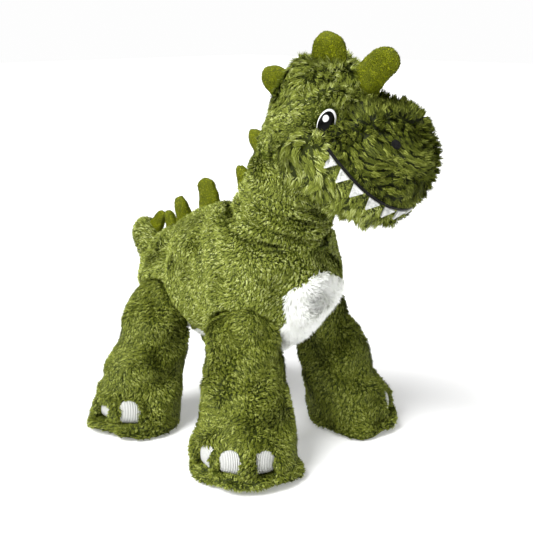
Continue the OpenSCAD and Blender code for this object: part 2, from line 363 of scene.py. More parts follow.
def gap_to(trees: Sequence[BVHTree], places: Rows, ways: Rows, reach: float) -> Rows:
    """How far each point is from its neighbours, along its outward direction and all round.

    Args:
        trees: The neighbours' search trees.
        places: Points of the skin.
        ways: Outward directions at the points.
        reach: The longest distance that matters.

    Returns:
        The smallest distance found at each point, at most reach.
    """
    found = np.full(len(places), reach)
    for tree in trees:
        for i, (p, n) in enumerate(zip(places, ways)):
            start = Vector(p) + Vector(n) * SLIVER
            hit = tree.ray_cast(start, Vector(n), reach)
            if hit[3] is not None:
                found[i] = min(found[i], hit[3])
            near = tree.find_nearest(Vector(p), reach / 2)
            if near[3] is not None:
                found[i] = min(found[i], 2 * near[3])
    return found


# ---- finishes --------------------------------------------------------------------------------


def principled(name: str) -> tuple[bpy.types.Material, bpy.types.Node]:
    """A new material and its one Principled shader.

    Args:
        name: The material's name.

    Returns:
        The material and its shader node.
    """
    material = bpy.data.materials.new(name)
    material.use_nodes = True
    shader = next(n for n in material.node_tree.nodes if n.type == "BSDF_PRINCIPLED")
    return material, shader


def mottle_group() -> bpy.types.NodeTree:
    """The shader node group of uneven dye: two colours mixed by soft noise, and a grain height.

    Returns:
        The group, built once and then shared.
    """
    known = bpy.data.node_groups.get("mottle")
    if known:
        return known
    group = bpy.data.node_groups.new("mottle", "ShaderNodeTree")
    face = group.interface
    for name, kind in (
        ("Vector", "NodeSocketVector"),
        ("Patch Scale", "NodeSocketFloat"),
        ("Grain Scale", "NodeSocketFloat"),
        ("Deep", "NodeSocketColor"),
        ("Pale", "NodeSocketColor"),
    ):
        face.new_socket(name, in_out="INPUT", socket_type=kind)
    face.new_socket("Color", in_out="OUTPUT", socket_type="NodeSocketColor")
    face.new_socket("Height", in_out="OUTPUT", socket_type="NodeSocketFloat")
    nodes, links = group.nodes, group.links
    put_in = nodes.new("NodeGroupInput")
    put_out = nodes.new("NodeGroupOutput")
    patch = nodes.new("ShaderNodeTexNoise")
    patch.inputs["Detail"].default_value = 3.0
    grain = nodes.new("ShaderNodeTexNoise")
    grain.inputs["Detail"].default_value = 2.0
    blend = nodes.new("ShaderNodeMath")
    blend.operation = "MULTIPLY_ADD"
    blend.inputs[1].default_value = GRAIN_SHARE
    spread = nodes.new("ShaderNodeMapRange")
    spread.inputs["From Min"].default_value = DYE_RANGE[0]
    spread.inputs["From Max"].default_value = DYE_RANGE[1]
    mix = nodes.new("ShaderNodeMix")
    mix.data_type = "RGBA"
    links.new(put_in.outputs["Vector"], patch.inputs["Vector"])
    links.new(put_in.outputs["Patch Scale"], patch.inputs["Scale"])
    links.new(put_in.outputs["Vector"], grain.inputs["Vector"])
    links.new(put_in.outputs["Grain Scale"], grain.inputs["Scale"])
    links.new(grain.outputs["Fac"], blend.inputs[0])
    links.new(patch.outputs["Fac"], blend.inputs[2])
    links.new(blend.outputs[0], spread.inputs["Value"])
    links.new(spread.outputs["Result"], mix.inputs["Factor"])
    links.new(put_in.outputs["Deep"], mix.inputs["A"])
    links.new(put_in.outputs["Pale"], mix.inputs["B"])
    links.new(mix.outputs["Result"], put_out.inputs["Color"])
    links.new(grain.outputs["Fac"], put_out.inputs["Height"])
    return group


def mottled(
    material: bpy.types.Material,
    shader: bpy.types.Node,
    tones: tuple[Colour, Colour],
    scales: tuple[float, float],
) -> bpy.types.Node:
    """Places the mottle group in a material, on the piece's own coordinates, as its colour.

    Args:
        material: The material.
        shader: Its Principled shader.
        tones: The deep and the pale tone.
        scales: How many patches and how many grains go to a metre.

    Returns:
        The group's node, whose height is still free.
    """
    nodes, links = material.node_tree.nodes, material.node_tree.links
    where = nodes.new("ShaderNodeTexCoord")
    dye = nodes.new("ShaderNodeGroup")
    dye.node_tree = mottle_group()
    for name, scale in zip(("Patch Scale", "Grain Scale"), scales):
        dye.inputs[name].default_value = scale
    for name, colour in zip(("Deep", "Pale"), tones):
        dye.inputs[name].default_value = (*colour, 1)
    links.new(where.outputs["Object"], dye.inputs["Vector"])
    links.new(dye.outputs["Color"], shader.inputs["Base Color"])
    return dye


@dataclass(frozen=True)
class Cloth:
    """A short-napped cloth: felt, velour or the backing of a pile."""

    name: str
    deep: Colour
    pale: Colour
    patch_size: float
    grain_size: float
    grain_height: float
    roughness: float = 0.9
    sheen: float = 0.3

    def material(self) -> bpy.types.Material:
        """The cloth's material, with uneven dye and a fine grain.

        Returns:
            The material.
        """
        material, shader = principled(self.name)
        nodes, links = material.node_tree.nodes, material.node_tree.links
        scales = (1 / self.patch_size, 1 / self.grain_size)
        dye = mottled(material, shader, (self.deep, self.pale), scales)
        bump = nodes.new("ShaderNodeBump")
        bump.inputs["Distance"].default_value = self.grain_height
        links.new(dye.outputs["Height"], bump.inputs["Height"])
        links.new(bump.outputs["Normal"], shader.inputs["Normal"])
        shader.inputs["Roughness"].default_value = self.roughness
        shader.inputs["Sheen Weight"].default_value = self.sheen
        shader.inputs["Sheen Tint"].default_value = (*self.pale, 1)
        shader.inputs["Specular IOR Level"].default_value = 0.1
        return material


@dataclass(frozen=True)
class Fibre:
    """One tone of the tufts of a pile: a dyed tone of their tips, or the painted shade of their roots."""

    name: str
    colour: Colour
    roughness: float = 0.7
    sheen: float = 0.35

    def material(self) -> bpy.types.Material:
        """The tone's material, even along the fibre.

        Returns:
            The material, built once.
        """
        known = bpy.data.materials.get(self.name)
        if known:
            return known
        material, shader = principled(self.name)
        shader.inputs["Base Color"].default_value = (*self.colour, 1)
        shader.inputs["Roughness"].default_value = self.roughness
        shader.inputs["Sheen Weight"].default_value = self.sheen
        shader.inputs["Sheen Roughness"].default_value = 0.5
        shader.inputs["Sheen Tint"].default_value = (*self.colour, 1)
        shader.inputs["Specular IOR Level"].default_value = 0.25
        return material


@dataclass(frozen=True)
class PileFabric:
    """A pile fabric: its backing cloth, which on the green fabrics is painted shade between the tufts, the
    painted shade at the roots of its tufts and the tones of their tips.
    """

    backing: Cloth
    # root: painted shade at the foot of each tuft, darker than its tip
    root: Fibre
    dark: Fibre
    body: Fibre
    light: Fibre


GREEN_PLUSH = PileFabric(
    # The backing's dark greens are painted shade that shows between the tufts.
    backing=Cloth("plush_backing", tone(44, 52, 6), tone(64, 74, 12), 0.03, 0.002, 0.0004),
    root=Fibre("plush_root", tone(50, 58, 8)),
    dark=Fibre("plush_dark", tone(90, 100, 26)),
    body=Fibre("plush_body", tone(134, 144, 54)),
    light=Fibre("plush_light", tone(192, 200, 122)),
)
# A darker copy of the green plush for the legs: painted shade, as the legs lie low and away from the
# light.
SHADED_LEG_PLUSH = PileFabric(
    backing=GREEN_PLUSH.backing,
    root=Fibre("leg_root", tone(46, 54, 7)),
    dark=Fibre("leg_dark", tone(80, 89, 18)),
    body=Fibre("leg_body", tone(114, 123, 36)),
    light=Fibre("leg_light", tone(160, 168, 84)),
)
# The muzzle's plush is darker than the green plush: painted shade, as if the muzzle lay in shade.
SHADED_SHAGGY_PLUSH = PileFabric(
    backing=GREEN_PLUSH.backing,
    root=Fibre("shaggy_root", tone(30, 36, 3)),
    dark=Fibre("shaggy_dark", tone(58, 66, 8)),
    body=Fibre("shaggy_body", tone(92, 101, 22)),
    light=Fibre("shaggy_light", tone(150, 158, 70)),
)
WHITE_PLUSH = PileFabric(
    backing=Cloth("white_backing", tone(240, 242, 236), tone(248, 249, 246), 0.02, 0.002, 0.0004),
    root=Fibre("white_root", tone(246, 248, 240)),
    dark=Fibre("white_dark", tone(244, 246, 240)),
    body=Fibre("white_body", tone(250, 251, 248)),
    light=Fibre("white_light", tone(254, 254, 252)),
)
SPIKE_VELOUR = PileFabric(
    # The backing's dark tones are painted shade that shows between the tufts.
    backing=Cloth("spike_backing", tone(70, 78, 4), tone(112, 121, 10), 0.010, 0.0009, 0.0003),
    root=Fibre("spike_root", tone(62, 68, 1)),
    dark=Fibre("spike_dark", tone(88, 95, 1)),
    body=Fibre("spike_body", tone(116, 123, 3)),
    light=Fibre("spike_light", tone(162, 168, 16)),
)
WHITE_FELT = Cloth("white_felt", tone(150, 152, 148), tone(216, 217, 213), 0.003, 0.0009, 0.0006)
BLACK_THREAD = Cloth(
    "black_thread", tone(8, 8, 8), tone(26, 26, 25), 0.002, 0.0006, 0.0003, 0.6, 0.1
)


@dataclass(frozen=True)
class Gloss:
    """A smooth glossy surface, such as a polished eye."""

    name: str
    deep: Colour
    pale: Colour
    roughness: float
    coat: float
    coat_roughness: float = 0.08
    wear_scale: float = 300.0
    grain_scale: float = 1500.0

    def material(self) -> bpy.types.Material:
        """The material, with faint wear in its polish.

        Returns:
            The material.
        """
        material, shader = principled(self.name)
        mottled(material, shader, (self.deep, self.pale), (self.wear_scale, self.grain_scale))
        shader.inputs["Roughness"].default_value = self.roughness
        shader.inputs["Coat Weight"].default_value = self.coat
        shader.inputs["Specular IOR Level"].default_value = 0.1
        shader.inputs["Coat Roughness"].default_value = self.coat_roughness
        return material


@dataclass(frozen=True)
class RibKnit:
    """White yarn knitted in fine upright ribs of stacked stitches, with painted shade in the furrows
    between them.
    """

    name: str
    yarn: Colour
    # the painted shade in the furrows between ribs and rows
    shade: Colour
    rib: float
    row: float
    height: float
    row_depth: float = 0.45
    furrow: float = 0.55

    def material(self) -> bpy.types.Material:
        """The knit's material, drawn on the piece's own flat map, with painted shade in its furrows.

        Returns:
            The material, built once.
        """
        known = bpy.data.materials.get(self.name)
        if known:
            return known
        material, shader = principled(self.name)
        nodes, links = material.node_tree.nodes, material.node_tree.links
        flat = nodes.new("ShaderNodeUVMap")
        flat.uv_map = "knit"
        parts = nodes.new("ShaderNodeSeparateXYZ")
        links.new(flat.outputs[0], parts.inputs[0])
        waves = []
        for axis, step in ((0, self.rib), (1, self.row)):
            turn = nodes.new("ShaderNodeMath")
            turn.operation = "MULTIPLY"
            turn.inputs[1].default_value = math.pi / step
            wave = nodes.new("ShaderNodeMath")
            wave.operation = "SINE"
            ridge = nodes.new("ShaderNodeMath")
            ridge.operation = "ABSOLUTE"
            links.new(parts.outputs[axis], turn.inputs[0])
            links.new(turn.outputs[0], wave.inputs[0])
            links.new(wave.outputs[0], ridge.inputs[0])
            waves.append(ridge)
        rows = nodes.new("ShaderNodeMath")
        rows.operation = "MULTIPLY_ADD"
        rows.inputs[1].default_value = self.row_depth
        rows.inputs[2].default_value = 1 - self.row_depth
        links.new(waves[1].outputs[0], rows.inputs[0])
        relief = nodes.new("ShaderNodeMath")
        relief.operation = "MULTIPLY"
        links.new(waves[0].outputs[0], relief.inputs[0])
        links.new(rows.outputs[0], relief.inputs[1])
        furrow_shade_mix = nodes.new("ShaderNodeMapRange")
        furrow_shade_mix.inputs["From Max"].default_value = self.furrow
        links.new(relief.outputs[0], furrow_shade_mix.inputs["Value"])
        # Painted shade: the yarn darkens towards the shade colour in the furrows between the ribs and the
        # rows.
        mix = nodes.new("ShaderNodeMix")
        mix.data_type = "RGBA"
        mix.inputs["A"].default_value = (*self.shade, 1)
        mix.inputs["B"].default_value = (*self.yarn, 1)
        links.new(furrow_shade_mix.outputs["Result"], mix.inputs["Factor"])
        links.new(mix.outputs["Result"], shader.inputs["Base Color"])
        bump = nodes.new("ShaderNodeBump")
        bump.inputs["Distance"].default_value = self.height
        links.new(relief.outputs[0], bump.inputs["Height"])
        links.new(bump.outputs["Normal"], shader.inputs["Normal"])
        shader.inputs["Roughness"].default_value = 0.85
        shader.inputs["Sheen Weight"].default_value = 0.2
        shader.inputs["Specular IOR Level"].default_value = 0.2
        return material


# The second tone is the painted shade of the knit's furrows.
RIB_KNIT = RibKnit("claw_knit", tone(226, 227, 223), tone(134, 136, 131), 0.0018, 0.0014, 0.0009)
EYE_BLACK = Gloss("eye_black", tone(1, 1, 1), tone(3, 3, 3), 0.30, 0.03)
EYE_GLINT = Gloss("eye_glint", tone(240, 240, 240), tone(252, 252, 252), 0.4, 0.2)


# ---- the pile --------------------------------------------------------------------------------


@dataclass(frozen=True)
class Pile:
    """How a pile stands: its tufts a square millimetre, their sizes in metres, and how they lie."""

    density: float
    length: float
    width: float
    lift: float
    clump: float
    pull: float
    stray: float


class Nap(Enum):
    """The kinds of pile on the toy."""

    BODY = Pile(1.55, 0.0037, 0.00088, 0.90, 0.0026, 0.55, 0.25)
    LEG = Pile(1.50, 0.0041, 0.00088, 0.85, 0.0029, 0.58, 0.28)
    HEAD = Pile(1.90, 0.0065, 0.00080, 0.70, 0.0044, 0.68, 0.26)
    MUZZLE = Pile(2.50, 0.0078, 0.00076, 0.95, 0.0052, 0.90, 0.24)
    JAW = Pile(2.30, 0.0088, 0.00077, 0.45, 0.0062, 0.72, 0.18)
    BELLY = Pile(2.00, 0.0062, 0.00092, 0.70, 0.0036, 0.40, 0.35)
    VELOUR = Pile(2.40, 0.0011, 0.00055, 0.90, 0.0020, 0.30, 0.40)


class PileTree:
    """The Geometry Nodes tree that grows clumped tufts from a skin, and its one tuft shape.

    The skin carries two vertex attributes: comb, the way the pile is brushed, and pile, how long it
    is there as a share of the full length. Where pile is nothing, no tuft grows.
    """

    NUMBERS = ("Density", "Length", "Width", "Lift", "Clump", "Pull", "Stray")
    MATERIALS = ("Root", "Dark", "Body", "Light")
    SHADE_STEPS = (0.36, 0.74)
    SHORTEST = 0.08
    LENGTH_SPREAD = (0.7, 1.12)
    WIDTH_SPREAD = (0.75, 1.25)
    CLUMP_SHADE = 0.40
    TUFT_SHADE = (0.01, 0.60)

    def __init__(self) -> None:
        """Builds the tuft and the tree."""
        self.tuft = self._tuft()
        self.tree = self._tree()

    def _tuft(self) -> bpy.types.Object:
        """A tapered, bent blade of unit length: a root face, which takes the painted shade of the roots,
        and a tip face.

        Returns:
            The loose tuft, which every pile copies.
        """
        bend, waist, waist_at = 1.6, 0.82, 0.42
        points = []
        for height, wide in ((0.0, 1.0), (waist_at, waist)):
            drop = -bend * height * height
            points += [(drop, -wide / 2, height), (drop, wide / 2, height)]
        points.append((-bend, 0, 1))
        ob = new_object("tuft", np.array(points), [(0, 1, 3, 2), (2, 3, 4)])
        smooth_shade(ob)
        tips = ob.data.attributes.new("tip", "FLOAT", "FACE")
        tips.data.foreach_set("value", np.array((0, 1), np.float32))
        return ob

    def _tree(self) -> bpy.types.NodeTree:
        """Points on the skin, a leaning blade on each, all made real and given its tone: painted shade on
        the root faces, a dyed tone on the tips.

        Returns:
            The node tree, ready for a modifier.
        """
        tree = bpy.data.node_groups.new("pile", "GeometryNodeTree")
        face = tree.interface
        face.new_socket("Geometry", in_out="INPUT", socket_type="NodeSocketGeometry")
        face.new_socket("Tuft", in_out="INPUT", socket_type="NodeSocketObject")
        for name in self.NUMBERS:
            face.new_socket(name, in_out="INPUT", socket_type="NodeSocketFloat")
        face.new_socket("Seed", in_out="INPUT", socket_type="NodeSocketInt")
        for name in self.MATERIALS:
            face.new_socket(name, in_out="INPUT", socket_type="NodeSocketMaterial")
        face.new_socket("Geometry", in_out="OUTPUT", socket_type="NodeSocketGeometry")
        nodes, links = tree.nodes, tree.links
        given = nodes.new("NodeGroupInput").outputs
        result = nodes.new("NodeGroupOutput")

        def math_node(kind: str, first: object, second: object) -> bpy.types.NodeSocket:
            """A math node of two numbers or sockets, and its output.

            Args:
                kind: The operation.
                first: Its first number or socket.
                second: Its second number or socket.

            Returns:
                The node's output.
            """
            node = nodes.new("ShaderNodeMath")
            node.operation = kind
            for slot, value in zip(node.inputs, (first, second)):
                if isinstance(value, bpy.types.NodeSocket):
                    links.new(value, slot)
                else:
                    slot.default_value = value
            return node.outputs[0]

        def vector_node(kind: str, first: object, second: object = None) -> bpy.types.NodeSocket:
            """A vector math node of one or two inputs, and its output.

            Args:
                kind: The operation.
                first: A vector socket.
                second: A vector, a number to scale by, or nothing.

            Returns:
                The node's output.
            """
            node = nodes.new("ShaderNodeVectorMath")
            node.operation = kind
            links.new(first, node.inputs[0])
            if second is not None:
                target = node.inputs["Scale"] if kind == "SCALE" else node.inputs[1]
                if isinstance(second, bpy.types.NodeSocket):
                    links.new(second, target)
                else:
                    target.default_value = second
            return node.outputs[0]

        def attribute(name: str, kind: str) -> bpy.types.NodeSocket:
            """A stored attribute of the skin or the tufts.

            Args:
                name: The attribute's name.
                kind: Its data type.

            Returns:
                The node's output.
            """
            node = nodes.new("GeometryNodeInputNamedAttribute")
            node.data_type = kind
            node.inputs["Name"].default_value = name
            return next(s for s in node.outputs if s.enabled)

        def dice(low: object, high: object, step: int, kind: str = "FLOAT") -> bpy.types.NodeSocket:
            """A random number or vector between two bounds, with its own fixed seed.

            Args:
                low: The least value.
                high: The greatest value.
                step: Sets its seed apart from the other dice.
                kind: The data type.

            Returns:
                The node's output.
            """
            node = nodes.new("FunctionNodeRandomValue")
            node.data_type = kind
            spots = [s for s in node.inputs if s.enabled and s.name in ("Min", "Max")]
            spots[0].default_value, spots[1].default_value = low, high
            links.new(math_node("ADD", given["Seed"], step), node.inputs["Seed"])
            return next(s for s in node.outputs if s.enabled)

        length_share = attribute("pile", "FLOAT")
        comb = attribute("comb", "FLOAT_VECTOR")
        cover = math_node("MULTIPLY", given["Density"], MM2_IN_M2)
        grown = math_node("GREATER_THAN", length_share, self.SHORTEST)
        points = nodes.new("GeometryNodeDistributePointsOnFaces")
        links.new(given["Geometry"], points.inputs["Mesh"])
        links.new(math_node("MULTIPLY", cover, grown), points.inputs["Density"])
        links.new(given["Seed"], points.inputs["Seed"])

        place_at = nodes.new("GeometryNodeInputPosition").outputs[0]
        inverse = math_node("DIVIDE", 1.0, given["Clump"])
        cells = nodes.new("ShaderNodeTexVoronoi")
        cells.inputs["Scale"].default_value = 1.0
        links.new(vector_node("SCALE", place_at, inverse), cells.inputs["Vector"])
        centre = vector_node("SCALE", cells.outputs["Position"], given["Clump"])
        lean = vector_node("SCALE", vector_node("SUBTRACT", centre, place_at), inverse)
        toss = dice((-1, -1, -1), (1, 1, 1), 1, "FLOAT_VECTOR")
        stray = vector_node("SCALE", toss, given["Stray"])
        upright = vector_node("SCALE", points.outputs["Normal"], given["Lift"])
        way = vector_node("ADD", upright, comb)
        way = vector_node("ADD", way, vector_node("SCALE", lean, given["Pull"]))
        way = vector_node("NORMALIZE", vector_node("ADD", way, stray))

        along = nodes.new("FunctionNodeAlignRotationToVector")
        along.axis = "Z"
        links.new(way, along.inputs["Vector"])
        facing = nodes.new("FunctionNodeAlignRotationToVector")
        facing.axis = "X"
        facing.pivot_axis = "Z"
        links.new(along.outputs[0], facing.inputs["Rotation"])
        links.new(points.outputs["Normal"], facing.inputs["Vector"])

        tall = math_node("MULTIPLY", given["Length"], length_share)
        tall = math_node("MULTIPLY", tall, dice(*self.LENGTH_SPREAD, 2))
        wide = math_node("MULTIPLY", given["Width"], dice(*self.WIDTH_SPREAD, 3))
        size = nodes.new("ShaderNodeCombineXYZ")
        for axis, value in zip("XYZ", (wide, wide, tall)):
            links.new(value, size.inputs[axis])

        shape = nodes.new("GeometryNodeObjectInfo")
        links.new(given["Tuft"], shape.inputs["Object"])
        stand = nodes.new("GeometryNodeInstanceOnPoints")
        links.new(shape.outputs["Geometry"], stand.inputs["Instance"])
        links.new(facing.outputs[0], stand.inputs["Rotation"])
        links.new(size.outputs[0], stand.inputs["Scale"])

        parts = nodes.new("ShaderNodeSeparateXYZ")
        links.new(cells.outputs["Color"], parts.inputs[0])
        shade = math_node("MULTIPLY", parts.outputs[0], self.CLUMP_SHADE)
        shade = math_node("ADD", shade, dice(*self.TUFT_SHADE, 4))
        store = nodes.new("GeometryNodeStoreNamedAttribute")
        store.data_type = "FLOAT"
        store.domain = "POINT"
        store.inputs["Name"].default_value = "shade"
        links.new(points.outputs["Points"], store.inputs["Geometry"])
        links.new(shade, next(s for s in store.inputs if s.name == "Value" and s.enabled))
        links.new(store.outputs[0], stand.inputs["Points"])

        real = nodes.new("GeometryNodeRealizeInstances")
        links.new(stand.outputs[0], real.inputs[0])
        tip = attribute("tip", "FLOAT")
        tint = attribute("shade", "FLOAT")
        low, high = self.SHADE_STEPS
        is_tip = math_node("GREATER_THAN", tip, 0.5)
        past_low = math_node("GREATER_THAN", tint, low)
        past_high = math_node("GREATER_THAN", tint, high)
        chain = real.outputs[0]
        # Every root face takes the painted root shade; the tip faces take dyed tones picked at random by
        # clump and tuft.
        choices = (
            ("Root", None),
            ("Dark", is_tip),
            ("Body", math_node("MULTIPLY", is_tip, past_low)),
            ("Light", math_node("MULTIPLY", is_tip, past_high)),
        )
        for name, chosen in choices:
            dress = nodes.new("GeometryNodeSetMaterial")
            links.new(chain, dress.inputs["Geometry"])
            links.new(given[name], dress.inputs["Material"])
            if chosen is not None:
                links.new(chosen, dress.inputs["Selection"])
            chain = dress.outputs[0]
        links.new(chain, result.inputs[0])
        return tree

    def grow(
        self, skin: bpy.types.Object, nap: Nap, fabric: PileFabric, seed: int
    ) -> bpy.types.Object:
        """Grows the pile on a skin as an object of its own.

        Args:
            skin: The skin, with its comb and pile attributes.
            nap: How the pile stands.
            fabric: The tones it is dyed in.
            seed: Fixes where the tufts stand.

        Returns:
            The coat of tufts.
        """
        coat = twin(skin, skin.name.replace("skin", "pile"))
        modifier = coat.modifiers.new("pile", "NODES")
        modifier.node_group = self.tree
        values = dict(zip(self.NUMBERS, astuple(nap.value)))
        values |= {"Tuft": self.tuft, "Seed": seed}
        fibres = (fabric.root, fabric.dark, fabric.body, fabric.light)
        values |= {n: f.material() for n, f in zip(self.MATERIALS, fibres)}
        for item in self.tree.interface.items_tree:
            if item.in_out == "INPUT" and item.name in values:
                modifier[item.identifier] = values[item.name]
        return settle(coat)

    def clear(self) -> None:
        """Takes the loose tuft out of the scene once every pile is grown."""
        bpy.data.objects.remove(self.tuft)


def join(target: bpy.types.Object, others: Sequence[bpy.types.Object]) -> None:
    """Joins other mesh objects into one, keeping every material.

    Args:
        target: The object that takes the others in.
        others: The objects that go into it.
    """
    bpy.ops.object.select_all(action="DESELECT")
    for ob in (*others, target):
        ob.select_set(True)
    bpy.context.view_layer.objects.active = target
    bpy.ops.object.join()
    target.select_set(False)


# ---- skins -----------------------------------------------------------------------------------


Comb = Callable[[Rows, Rows], Rows]


@dataclass
class Skin:
    """A stuffed skin made from its CAD nodes: an even closed mesh, its lumps and its pile."""

    name: str
    nodes: tuple[str, ...]
    body: str
    seed: int
    nap: Nap
    fabric: PileFabric = GREEN_PLUSH
    voxel: float = 0.0028
    rounds: int = 6
    inset: float = 0.0030
    lump: float = 0.0016
    lump_size: float = 0.032
    swirl: float = 0.45
    fill: float = 0.6
    fine_share: float = 0.45
    fine_step: float = 2.4
    swirl_size: float = 0.02
    ob: bpy.types.Object = field(default=None, repr=False)
    coat: bpy.types.Object = field(default=None, repr=False)

    def form(self) -> None:
        """Makes the closed mesh, stands it back for the pile and adds the filling's lumps."""
        self.ob = remeshed(from_nodes(self.name, self.nodes), self.voxel, self.rounds)
        places, ways = points_of(self.ob), normals_of(self.ob)
        uneven = np.einsum("ij,ij->i", wander(places, self.lump_size, self.seed), ways)
        fine = np.einsum("ij,ij->i", wander(places, self.lump_size / self.fine_step, self.seed + 50), ways)
        rise = -self.inset + self.lump * (uneven + self.fine_share * fine)
        places += ways * rise[:, None]
        places[:, 2] = np.maximum(places[:, 2], SLIVER)
        place(self.ob, places)

    def brush(self, comb: Comb, share: Rows) -> None:
        """Stores the way the pile lies and its share of full length at each vertex.

        Args:
            comb: Gives the brushing direction at each point, from places and outward directions.
            share: Share of the full pile length at each vertex.
        """
        places, ways = points_of(self.ob), normals_of(self.ob)
        lay = comb(places, ways) + self.swirl * wander(places, self.swirl_size, self.seed + 7)
        lay -= ways * np.einsum("ij,ij->i", lay, ways)[:, None]
        mark(self.ob, "comb", lay)
        mark(self.ob, "pile", share)

    def dress(self, pile: PileTree) -> None:
        """Gives the skin its backing, whose colour on the green fabrics is painted shade between the
        tufts, and its tufts.

        Args:
            pile: The tree that grows the pile.
        """
        self.ob.data.materials.clear()
        self.ob.data.materials.append(backing_of(self.fabric))
        self.coat = pile.grow(self.ob, self.nap, self.fabric, self.seed)

    def declare(self, slot: str, *replaced: str) -> None:
        """Rides the skin and its coat on their body and hides the CAD nodes that they stand for.

        Args:
            slot: Not used.
            replaced: The CAD nodes that the skin stands for.
        """
        for piece in (self.ob, self.coat):
            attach(piece, self.body)
            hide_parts(*replaced)
            LOG.info("%s: %d faces on %s", piece.name, len(piece.data.polygons), self.body)


def backing_of(fabric: PileFabric) -> bpy.types.Material:
    """The backing's material, built once for each fabric."""
    return bpy.data.materials.get(fabric.backing.name) or fabric.backing.material()


def brushed(*way: float) -> Comb:
    """A comb that brushes all the pile one way."""
    return lambda places, ways: np.tile(np.array(way, float), (len(places), 1))


def clear_of(ob: bpy.types.Object, trees: Sequence[BVHTree], reach: float) -> Rows:
    """Pile share that falls to nothing where a neighbour lies close over the skin.

    Args:
        ob: The skin.
        trees: The neighbours' search trees.
        reach: The gap at which the pile has its full length.

    Returns:
        A share from 0 to 1 at each vertex.
    """
    gap = gap_to(trees, points_of(ob), normals_of(ob), reach)
    return ease(gap, reach * 0.25, reach)


def away_from(places: Rows, centre: Rows, inner: float, outer: float) -> Rows:
    """Share that is 0 within inner of a point and 1 beyond outer."""
    return ease(np.linalg.norm(places - centre, axis=1), inner, outer)


# ---- the studio ------------------------------------------------------------------------------


@dataclass(frozen=True)
class Studio:
    """The pale floor, the soft lights and the camera."""

    lens: float = 60.8
    sensor: float = 36.0
    azimuth: float = 46.2
    pitch: float = 15.1
    stand: tuple[float, float, float] = (-0.534, -0.5273, 0.351)
    floor_size: float = 14.0
    floor_tone: Colour = tone(248, 248, 248)
    sky: float = 0.30
    backdrop: float = 0.985
    floor_glow: float = 0.26
    key: float = 4.9
    key_spread: float = 36.0
    key_from: tuple[float, float, float] = (-0.74, 0.10, 0.84)
    fill: float = 0.65
    fill_from: tuple[float, float, float] = (0.25, -0.95, 0.35)

    def camera(self) -> None:
        """Adds the camera."""
        data = bpy.data.cameras.new("camera")
        data.lens, data.sensor_width = self.lens, self.sensor
        data.clip_start, data.clip_end = 0.02, 60
        ob = bpy.data.objects.new("camera", data)
        ob.location = self.stand
        ob.rotation_euler = (math.radians(90 - self.pitch), 0, math.radians(-self.azimuth))
        bpy.context.scene.collection.objects.link(ob)
        bpy.context.scene.camera = ob

    def floor(self) -> None:
        """Adds the floor, a plain pale sheet."""
        half = self.floor_size / 2
        corners = np.array(((-half, -half, 0), (half, -half, 0), (half, half, 0), (-half, half, 0)))
        ob = new_object("floor", corners, [(0, 1, 2, 3)])
        material, shader = principled("floor_paint")
        shader.inputs["Base Color"].default_value = (*self.floor_tone, 1)
        shader.inputs["Roughness"].default_value = 0.95
        shader.inputs["Specular IOR Level"].default_value = 0.0
        shader.inputs["Emission Color"].default_value = (1, 1, 1, 1)
        shader.inputs["Emission Strength"].default_value = self.floor_glow
        ob.data.materials.append(material)

    def lights(self) -> None:
        """Adds the soft lights and the even sky."""
        world = bpy.data.worlds.new("sky")
        world.use_nodes = True
        nodes, links = world.node_tree.nodes, world.node_tree.links
        glow = nodes["Background"]
        glow.inputs["Color"].default_value = (1, 1, 1, 1)
        glow.inputs["Strength"].default_value = self.sky
        seen = nodes.new("ShaderNodeBackground")
        seen.inputs["Color"].default_value = (1, 1, 1, 1)
        seen.inputs["Strength"].default_value = self.backdrop
        path = nodes.new("ShaderNodeLightPath")
        mix = nodes.new("ShaderNodeMixShader")
        links.new(path.outputs["Is Camera Ray"], mix.inputs["Fac"])
        links.new(glow.outputs[0], mix.inputs[1])
        links.new(seen.outputs[0], mix.inputs[2])
        links.new(mix.outputs[0], nodes["World Output"].inputs["Surface"])
        bpy.context.scene.world = world
        for name, power, spread, start in (
            ("key", self.key, self.key_spread, self.key_from),
            ("fill", self.fill, 2 * self.key_spread, self.fill_from),
        ):
            data = bpy.data.lights.new(name, "SUN")
            data.energy, data.angle = power, math.radians(spread)
            ob = bpy.data.objects.new(name, data)
            ob.rotation_euler = (-Vector(start)).to_track_quat("-Z", "Y").to_euler()
            bpy.context.scene.collection.objects.link(ob)

    def build(self) -> None:
        """Sets up the whole studio."""
        self.camera()
        self.floor()
        self.lights()
        bpy.context.scene.view_settings.view_transform = "Standard"


# ---- the toy ---------------------------------------------------------------------------------


HIP_JOINTS = {
    "fr": "hip_front_right",
    "fl": "hip_front_left",
    "rr": "hip_rear_right",
    "rl": "hip_rear_left",
}


